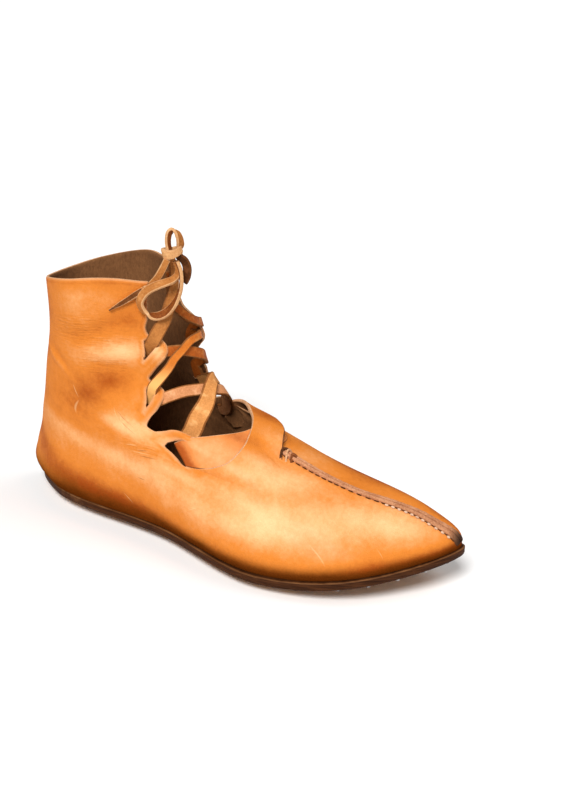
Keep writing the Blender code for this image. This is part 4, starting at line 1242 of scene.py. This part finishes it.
def copied_faces(faces, size, copies):
    """The faces of a shape of so many points, for copies of it whose points follow each other."""
    return [[k + n * size for k in face] for n in range(copies) for face in faces]


def bead_grid(rings, spokes):
    """A ball of radius 1 as rings of spokes, with one point on each pole."""
    up = np.linspace(0, math.pi, rings + 2)[1:-1]
    body = turned(np.sin(up), np.cos(up), spokes)
    top, bottom = rings * spokes, rings * spokes + 1
    k = np.arange(spokes)
    caps = np.stack([np.full(spokes, top), k, (k + 1) % spokes], axis=1)
    last = (rings - 1) * spokes
    ends = np.stack([np.full(spokes, bottom), last + (k + 1) % spokes, last + k], axis=1)
    faces = grid_faces(rings, spokes)[:, ::-1].tolist() + caps.tolist() + ends.tolist()
    return np.concatenate([body, [(0, 0, 1), (0, 0, -1)]]), faces


def place_beads(centres, forward, sideways, upward, sizes, bead):
    """Copies of a ball stretched along three directions, each round its own centre."""
    shape, faces = bead
    axes = np.stack([forward, sideways, upward], axis=1) * np.array(sizes)[:, None]
    return (centres[:, None] + shape @ axes).reshape(-1, 3), copied_faces(faces, len(shape), len(centres))


def seam_beads(first, spacing, out, sizes, lift):
    """Beads beside the seam's outer foot from a distance on, each turned along the seam."""
    line, sideways, reach = seam_line(SEAM_STEPS)
    at = np.interp(np.arange(first, reach[-1] - 3, spacing), reach, np.arange(len(reach)))
    foot = line[:, :2] + (line[:, 3:] + out) * sideways
    here, ahead = (read_at(at + step, np.arange(len(foot)), foot) for step in (0.0, 0.5))
    centre = skin(*here.T, relief(*here.T) + lift)
    upward = skin_normal(*here.T)
    forward = unit(skin(*ahead.T, 0.0) - skin(*here.T, 0.0))
    return place_beads(centre, forward, np.cross(upward, forward), upward, sizes, bead_grid(5, 10))


# The dark dashes in the stitch holes are painted shade; pale thread shows further down the seam.
new_piece("seam_pits", *seam_beads(7.0, STITCH, 0.15, (1.75, 0.42, 0.5), 0.4), [pit_finish])
new_piece("seam_stitches", *seam_beads(71.6, STITCH, 0.6, (1.2, 0.8, 0.65), 0.45), [thread_finish])
THREAD_STEPS = 24
# Name of a loose thread: finish, half width, then rows of height, way round and lift
THREAD_ENDS = {
    "thread_end_pale": (raw_edge, 0.6, (
        (62.4, -19.2, -0.3), (63.2, -16.6, 1.4), (64.0, -13.8, 3.6), (64.3, -11.2, 3.6), (64.0, -9.6, 0.4))),
    "thread_end_dark": (pit_finish, 0.75, (
        (63.6, -18.6, -0.2), (64.2, -16.6, 1.5), (64.9, -13.6, 3.2), (65.0, -10.4, 2.6), (64.6, -8.6, 0.2))),
    "thread_end_red": (dark_edge_and_shade, 0.8, (
        (61.8, -17.6, -0.4), (62.3, -16.2, 1.2), (62.9, -14.2, 3.3), (62.8, -13.2, 3.4), (62.4, -12.9, 2.4)))}
for name, (finish, half, rows) in THREAD_ENDS.items():
    rows = smooth_rows(np.array(rows), THREAD_STEPS)
    points = sweep(skin(*rows.T), skin_normal(rows[:, 0], rows[:, 1]), half, half)
    new_piece(name, points, tube_faces(*points.shape[:2]), [finish])

# %% [markdown]
# ## Lace across the throat
# The thong zigzags up the throat: it passes under a loop, comes out through the slot behind it and crosses
# to the other side. On the skin each crossing is a strap of constant thickness with a table of places,
# lifts and widths, and it dips below the leather where it goes under a loop or into a slot.

# %% Lace bars
LACE_THICKNESS = 2.0
BAR_POINTS = 110
# Name: finish, then rows of height, way round, lift of the floor and width
LACE_BARS = {
    "lace_low_up": ("fawn", (
        (68.5, -62, -8.0, 11), (71, -54.4, -7.0, 12), (75.2, -40.9, -5.0, 12), (80.7, -28.5, -0.8, 11.5),
        (86.8, -17.8, 1.0, 10.5), (92.5, -11, 1.3, 9.2), (96.2, -6.5, 1.2, 8.6), (98.4, -3.4, 0.4, 8.2),
        (98.6, 0, -1.6, 7.8), (97, 5.5, -3.6, 7.4), (94.5, 14, -4.6, 7), (92, 24, -4.4, 7),
        (89.5, 33, -4.2, 6.8), (87, 41, -4.4, 6.6), (85, 47, -4.8, 6))),
    "lace_low_down": ("rosy", (
        (86.5, -50, -4.8, 6.5), (88.6, -45, -3.6, 7), (90.4, -40, -2.8, 7.2), (93.0, -31.2, -1.6, 7.3),
        (94.4, -23.5, -1.1, 7.3), (94.6, -16.5, -1.0, 7.3), (94.4, -10, -1.2, 7.3), (92.3, 0, -2.2, 7.3),
        (89, 9, -3.4, 7.6), (85, 18, -4.4, 8.4), (80, 30, -5.0, 9.2), (75, 41, -5.0, 9),
        (71, 52, -4.6, 8), (68.6, 60.5, -4.4, 8.2), (67.4, 69, -4.2, 8))),
    "lace_high_up": ("grain", (
        (86, -53.5, -6.0, 6.2), (88.5, -50.5, -4.8, 6.5), (91.5, -47, -3.0, 6.6), (93.8, -44, -0.8, 6.6),
        (96.4, -40.8, 1.0, 6.6), (100, -36, 1.5, 6.4), (103.8, -31.4, 1.6, 6.0), (109.4, -25.6, 1.7, 5.4),
        (113.2, -22.3, 1.7, 5.2), (118.6, -15.2, 1.7, 5.0), (122.6, -9.5, 1.2, 5.0), (124, 0, -1.5, 5.0),
        (122.5, 9, -3.6, 5.2), (120, 17, -4.2, 5.4), (118, 23, -3.8, 5.4), (117, 28, -3.8, 5.4),
        (116.5, 32, -4.4, 5))),
    "lace_high_down": ("red", (
        (116.5, -35, -4.2, 6), (117.2, -29, -3.2, 6.4), (117.5, -24, -2.2, 6.6),
        (117.9, -19.8, -1.4, 6.6), (117.5, -13.7, -1.2, 6.6), (115.5, -7, -2.2, 6.6),
        (112.5, 1, -3.6, 6.6), (108.5, 10, -4.6, 6.6), (104, 20, -4.4, 6.6), (100.5, 30, -3.6, 6.6),
        (97.5, 36, -3.4, 6.6), (95, 41, -3.8, 6.4), (92, 42.4, -3.8, 7.6), (86.4, 46, -3.8, 7.8))),
    "lace_top_lateral": ("flesh", (
        (113.5, -39, -6.0, 6), (116, -37, -4.6, 7), (118.8, -34.8, -3.0, 8), (121.5, -32.3, -1.2, 8.4),
        (124.4, -29.8, 0.9, 8.4), (130.7, -25.2, 1.1, 8.4), (137, -20.3, 0.6, 8.0),
        (144.3, -16.4, 0.0, 7.2), (151.5, -13, -0.8, 6.4), (158, -10.5, -1.6, 5.8),
        (165.4, -10, -2.4, 5.2), (174, -12.5, -2.2, 4.6))),
    "lace_top_medial": ("red", (
        (111.6, 35.6, -4.8, 5), (116, 34.2, -4.6, 5), (118.8, 32.4, -3.0, 5.6), (121.5, 29, -1.2, 6),
        (124.6, 22, -0.6, 6), (128.5, 13.5, -3.4, 6), (134.6, 3.1, -7.0, 5.8), (139.2, -4.7, -9.0, 5.6),
        (143, -9, -9.5, 5.2), (149.2, -10.6, -8.0, 5), (156.7, -11.4, -5.6, 4.8), (163.3, -12, -4.4, 4.6)))}


def bar_points(table):
    """A ribbon along a route on the skin: a flat section with its thickness along the skin's normal and its
    width square to both the normal and the route."""
    table = np.array(table, float)
    reach = arc_length(skin(*table.T[:3]))
    height, around, lift, width = smooth_through(reach, table, np.linspace(0, reach[-1], BAR_POINTS)).T
    path = skin(height, around, lift + LACE_THICKNESS / 2)
    across = np.cross(skin_normal(height, around), unit(np.gradient(path, axis=0)))
    return sweep(path, across, width / 2, LACE_THICKNESS / 2)


# The edges of each lace bar are darker with painted shade.
for name, (finish, table) in LACE_BARS.items():
    points = bar_points(table)
    bar = new_piece(name, points, tube_faces(*points.shape[:2]), [thong[finish], thong[finish], thong["rim"]],
                    thong_kinds(len(points)), sharp=THONG_SHARP)
    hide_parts("lace_crossings")

# %% [markdown]
# ## Sole, insole and nails
# The sole is one layer of thick leather. Its cut edge is burnished nearly black, with a paler line of
# painted highlight along its top corner, and its underside shows the long fibres between the nails. A plate
# is a closed outline at several levels, closed above and below by rungs from side to side.

# %% Plates
PLATE_CROWDING = 0.08


def side_outline(sizes, steps):
    """Outline of one ring as points, closer at crest and back: the outer side, then the inner one."""
    t = np.linspace(0, 1, steps + 1)
    share = t - PLATE_CROWDING * np.sin(2 * math.pi * t)
    sides = []
    for half in outline_halves(ring_outlines(sizes[None])):
        reach = arc_length(half)[0]
        sides.append(read_at(share * reach[-1], reach, half[0]))
    return np.concatenate([sides[0], sides[1][-2:0:-1]])


def inset(outline, distance):
    """A closed outline moved inwards along its own normals."""
    ahead, behind = np.roll(outline, -1, axis=0), np.roll(outline, 1, axis=0)
    tangent = unit(ahead - behind)
    turning = np.sign(np.sum(outline[:, 0] * ahead[:, 1] - ahead[:, 0] * outline[:, 1]))
    return outline + distance * turning * np.column_stack([-tangent[:, 1], tangent[:, 0]])


def plate_points(outline, levels):
    """Rings of an outline at (inset, height) levels, raised by the toe's spring."""
    rings = np.stack([np.column_stack([inset(outline, move), np.full(len(outline), height)])
                      for move, height in levels])
    rings[..., 2] += spring(rings[..., 0])
    return rings


def rung_faces(first, steps):
    """Rungs that close a ring, from the outer to the inner side, with a triangle at the toe and the heel."""
    count = 2 * steps
    outer_side = first + np.arange(steps + 1)
    inner_side = first + (count - np.arange(steps + 1)) % count
    rungs = np.stack([outer_side[1:-2], outer_side[2:-1], inner_side[2:-1], inner_side[1:-2]], axis=1)
    ends = [[outer_side[0], outer_side[1], inner_side[1]], [outer_side[-2], outer_side[-1], inner_side[-2]]]
    return rungs.tolist(), [[int(k) for k in end] for end in ends]


def new_plate(name, outline, levels, finishes, level_kinds):
    """A plate whose edge has one kind of finish for each step between its levels; its faces have kind 1."""
    rings = plate_points(outline, levels)
    steps = len(outline) // 2
    faces = grid_faces(len(levels), len(outline)).tolist()
    kinds = np.repeat(level_kinds, len(outline)).tolist()
    for level in (0, len(levels) - 1):
        rungs, ends = rung_faces(level * len(outline), steps)
        cap = rungs + ends
        faces += cap if level else [face[::-1] for face in cap]
        kinds += [1] * len(cap)
    return new_piece(name, rings, faces, finishes, kinds, sharp=60)


def sole_edge_finish(name, deep, fair, worn_to):
    """A burnished edge: dark brown in level streaks, dull, with worn paler places."""
    finish, place = new_finish(name, Roughness=0.6, Specular_IOR_Level=0.06)
    layer = place.noise(260.0, 4.0, 0.6, (0.25, 0.25, 4.0))
    worn = place.noise(45.0, 4.0, 0.65)
    colour = layer.rise(0.30, 0.75).mix(deep, fair)
    colour = worn.rise(0.58, 0.80).mix(colour, worn_to)
    return wear(finish, colour, layer + worn * 0.5, 0.0005, Roughness=0.55 + (layer - 0.5) * 0.25)


def sole_face_finish():
    """The sole's faces: fawn leather with long streaks from heel to toe, scuffed and dull."""
    finish, place = new_finish("sole_face", Roughness=0.66, Specular_IOR_Level=0.3)
    streak = place.noise(300.0, 4.0, 0.65, (0.06, 1.0, 1.0))
    cloud = place.noise(22.0, 4.0, 0.6)
    colour = (streak * 0.75 + cloud * 0.5).rise(0.35, 0.9).mix((0.26, 0.100, 0.030), (0.58, 0.30, 0.115))
    colour = place.noise(90.0, 4.0, 0.7).rise(0.62, 0.80).mix(colour, (0.16, 0.065, 0.025))
    return wear(finish, colour, streak + cloud * 0.4, 0.0006)


sole_edge = sole_edge_finish("sole_edge", (0.028, 0.0085, 0.0028), (0.082, 0.027, 0.0085),
                             (0.12, 0.046, 0.015))
# The sole's top corner is paler: a painted highlight, in the same finish with lighter colours.
sole_corner_highlight = sole_edge_finish("sole_corner_highlight", (0.09, 0.033, 0.011), (0.20, 0.085, 0.030),
                               (0.27, 0.125, 0.050))
sole_face = sole_face_finish()
SOLE_STEPS = 150
# Inset and height of the sole's rings, from below upwards
sole_levels = [
    (1.1, SOLE_BOTTOM), (0.45, SOLE_BOTTOM + 0.15), (0.1, SOLE_BOTTOM + 0.6), (-0.1, SOLE_BOTTOM + 1.6),
    (-0.05, SOLE_BOTTOM + 2.6), (-0.1, SOLE_TOP - 1.2), (0.0, SOLE_TOP - 0.5), (0.4, SOLE_TOP - 0.1),
    (0.9, SOLE_TOP), (5.0, SOLE_TOP)]
outsole = new_plate("outsole_leather", side_outline(SOLE_RING, SOLE_STEPS), sole_levels,
                    [sole_edge, sole_face, sole_corner_highlight], [1, 0, 0, 0, 0, 0, 2, 2, 0])
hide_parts("outsole")

# %% Insole
insole_finish = flesh_finish("insole_leather")
insole_ring = smooth_through(RINGS[:, 0], RINGS[:, 1:], [SOLE_TOP + GAP])[0]
INSOLE_STEPS = 100
INSOLE_INSET = 1.2 * WALL + GAP
insole_outline = inset(side_outline(insole_ring, INSOLE_STEPS), INSOLE_INSET)
insole_bottom = SOLE_TOP + GAP
insole_levels = [(0.3, insole_bottom), (0.0, insole_bottom + 0.4), (0.0, insole_bottom + 2.0),
                 (0.5, insole_bottom + 2.5)]
insole = new_plate("insole_leather", insole_outline, insole_levels, [insole_finish, insole_finish], [0, 0, 0])
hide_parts("insole")

# %% [markdown]
# A hobnail is a blunt iron cone with a low flange against the leather. One profile is turned round its
# axis and then copied to every place under the sole, tilted where the toe springs up.

# %% Hobnails
NAIL_INSET, EDGE_NAILS, MIDDLE_NAILS = 10.5, 34, 15
MIDDLE_FROM, MIDDLE_TO, MIDDLE_ZIGZAG = 34.0, 256.0, 0.10
# Columns: radius and height over the floor of the nail's profile, from its tip to its flange
NAIL_PROFILE = np.array([
    (0.75, 0.02), (1.15, 0.22), (1.32, 0.55), (2.0, 2.0), (2.65, 3.2), (3.2, 3.45), (3.3, 3.8), (3.25, 4.4),
    (2.9, 4.7)])
NAIL_SPOKES = 18
LEAST_SLOPE = 0.03


def nail_places():
    """Nail centres: evenly round the inset outline, then a zigzag row between its two sides."""
    edge = inset(side_outline(SOLE_RING, SOLE_STEPS), NAIL_INSET)
    ring = np.concatenate([edge, edge[:1]])
    reach = arc_length(ring)
    at = np.arange(EDGE_NAILS) * reach[-1] / EDGE_NAILS
    round_edge = read_at(at, reach, ring)
    x = np.linspace(MIDDLE_FROM, MIDDLE_TO, MIDDLE_NAILS)
    outer_side = edge[:SOLE_STEPS + 1][::-1]
    inner_side = edge[SOLE_STEPS:]
    low = np.interp(x, outer_side[:, 0], outer_side[:, 1])
    high = np.interp(x, inner_side[:, 0], inner_side[:, 1])
    share = 0.5 + MIDDLE_ZIGZAG * (-1.0) ** np.arange(MIDDLE_NAILS)
    return np.concatenate([round_edge, np.column_stack([x, low + share * (high - low)])])


def iron_finish():
    """Worn iron: grey metal, darker and a little rusty in patches, polished where the ground rubs it."""
    finish, place = new_finish("nail_iron", Roughness=0.38, Metallic=1.0)
    patch = place.noise(420.0, 4.0, 0.65)
    colour = patch.rise(0.40, 0.68).mix((0.46, 0.46, 0.47), (0.24, 0.215, 0.20))
    colour = place.noise(700.0, 3.0, 0.6).rise(0.62, 0.78).mix(colour, (0.20, 0.10, 0.05))
    return wear(finish, colour, patch, 0.0003, Roughness=0.26 + patch * 0.3)


places = nail_places()
slope = (spring(places[:, 0] + 1) - spring(places[:, 0] - 1)) / 2
tilt = np.where(slope > LEAST_SLOPE, np.arctan(slope), 0.0)[:, None]
radius, height = NAIL_PROFILE.T
x, y, z = turned(radius, height - height[-1], NAIL_SPOKES).T
nail_points = np.stack([places[:, :1] + x * np.cos(tilt) - z * np.sin(tilt), places[:, 1:] + y,
                        height[-1] + spring(places[:, :1]) + x * np.sin(tilt) + z * np.cos(tilt)], axis=-1)
nail_faces = copied_faces(tube_faces(len(radius), NAIL_SPOKES), len(x), len(places))
nails = new_piece("hobnails", nail_points, nail_faces, [iron_finish()], sharp=45)
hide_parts(*[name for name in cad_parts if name.startswith("hobnail")])

# %% [markdown]
# ## Floor and light
# The boot stands on a plain pale floor in a white room. One wide light, high on the camera's left, models
# the outer side, and a weaker one from the front of the inner side keeps the toe open. The room itself
# gives the rest.

# %% Floor
floor_mesh = bpy.data.meshes.new("floor")
floor_mesh.from_pydata([(-9, -9, 0), (9, -9, 0), (9, 9, 0), (-9, 9, 0)], [], [(0, 1, 2, 3)])
floor_finish, _ = new_finish("pale_floor", Roughness=0.85, Base_Color=(0.90, 0.90, 0.895, 1))
floor_mesh.materials.append(floor_finish)
floor = show("floor", floor_mesh)

# %% Lights


def soft_sun(name, azimuth, elevation, width, power):
    """A far light as wide as an overcast patch of sky, all angles in degrees; azimuth 0 is the outer side."""
    lamp = bpy.data.lights.new(name, "SUN")
    lamp.angle = math.radians(width)
    lamp.energy = power
    back = outward(math.radians(azimuth), math.radians(elevation))
    show(name, lamp, back, level_axes(back))


soft_sun("key_light", 14.0, 48.0, 24.0, 3.4)
soft_sun("side_light", 125.0, 55.0, 40.0, 0.7)
room = bpy.data.worlds.new("room")
room.use_nodes = True
room.node_tree.nodes["Background"].inputs["Color"].default_value = (1.0, 1.0, 1.0, 1)
room.node_tree.nodes["Background"].inputs["Strength"].default_value = 0.28
bpy.context.scene.world = room
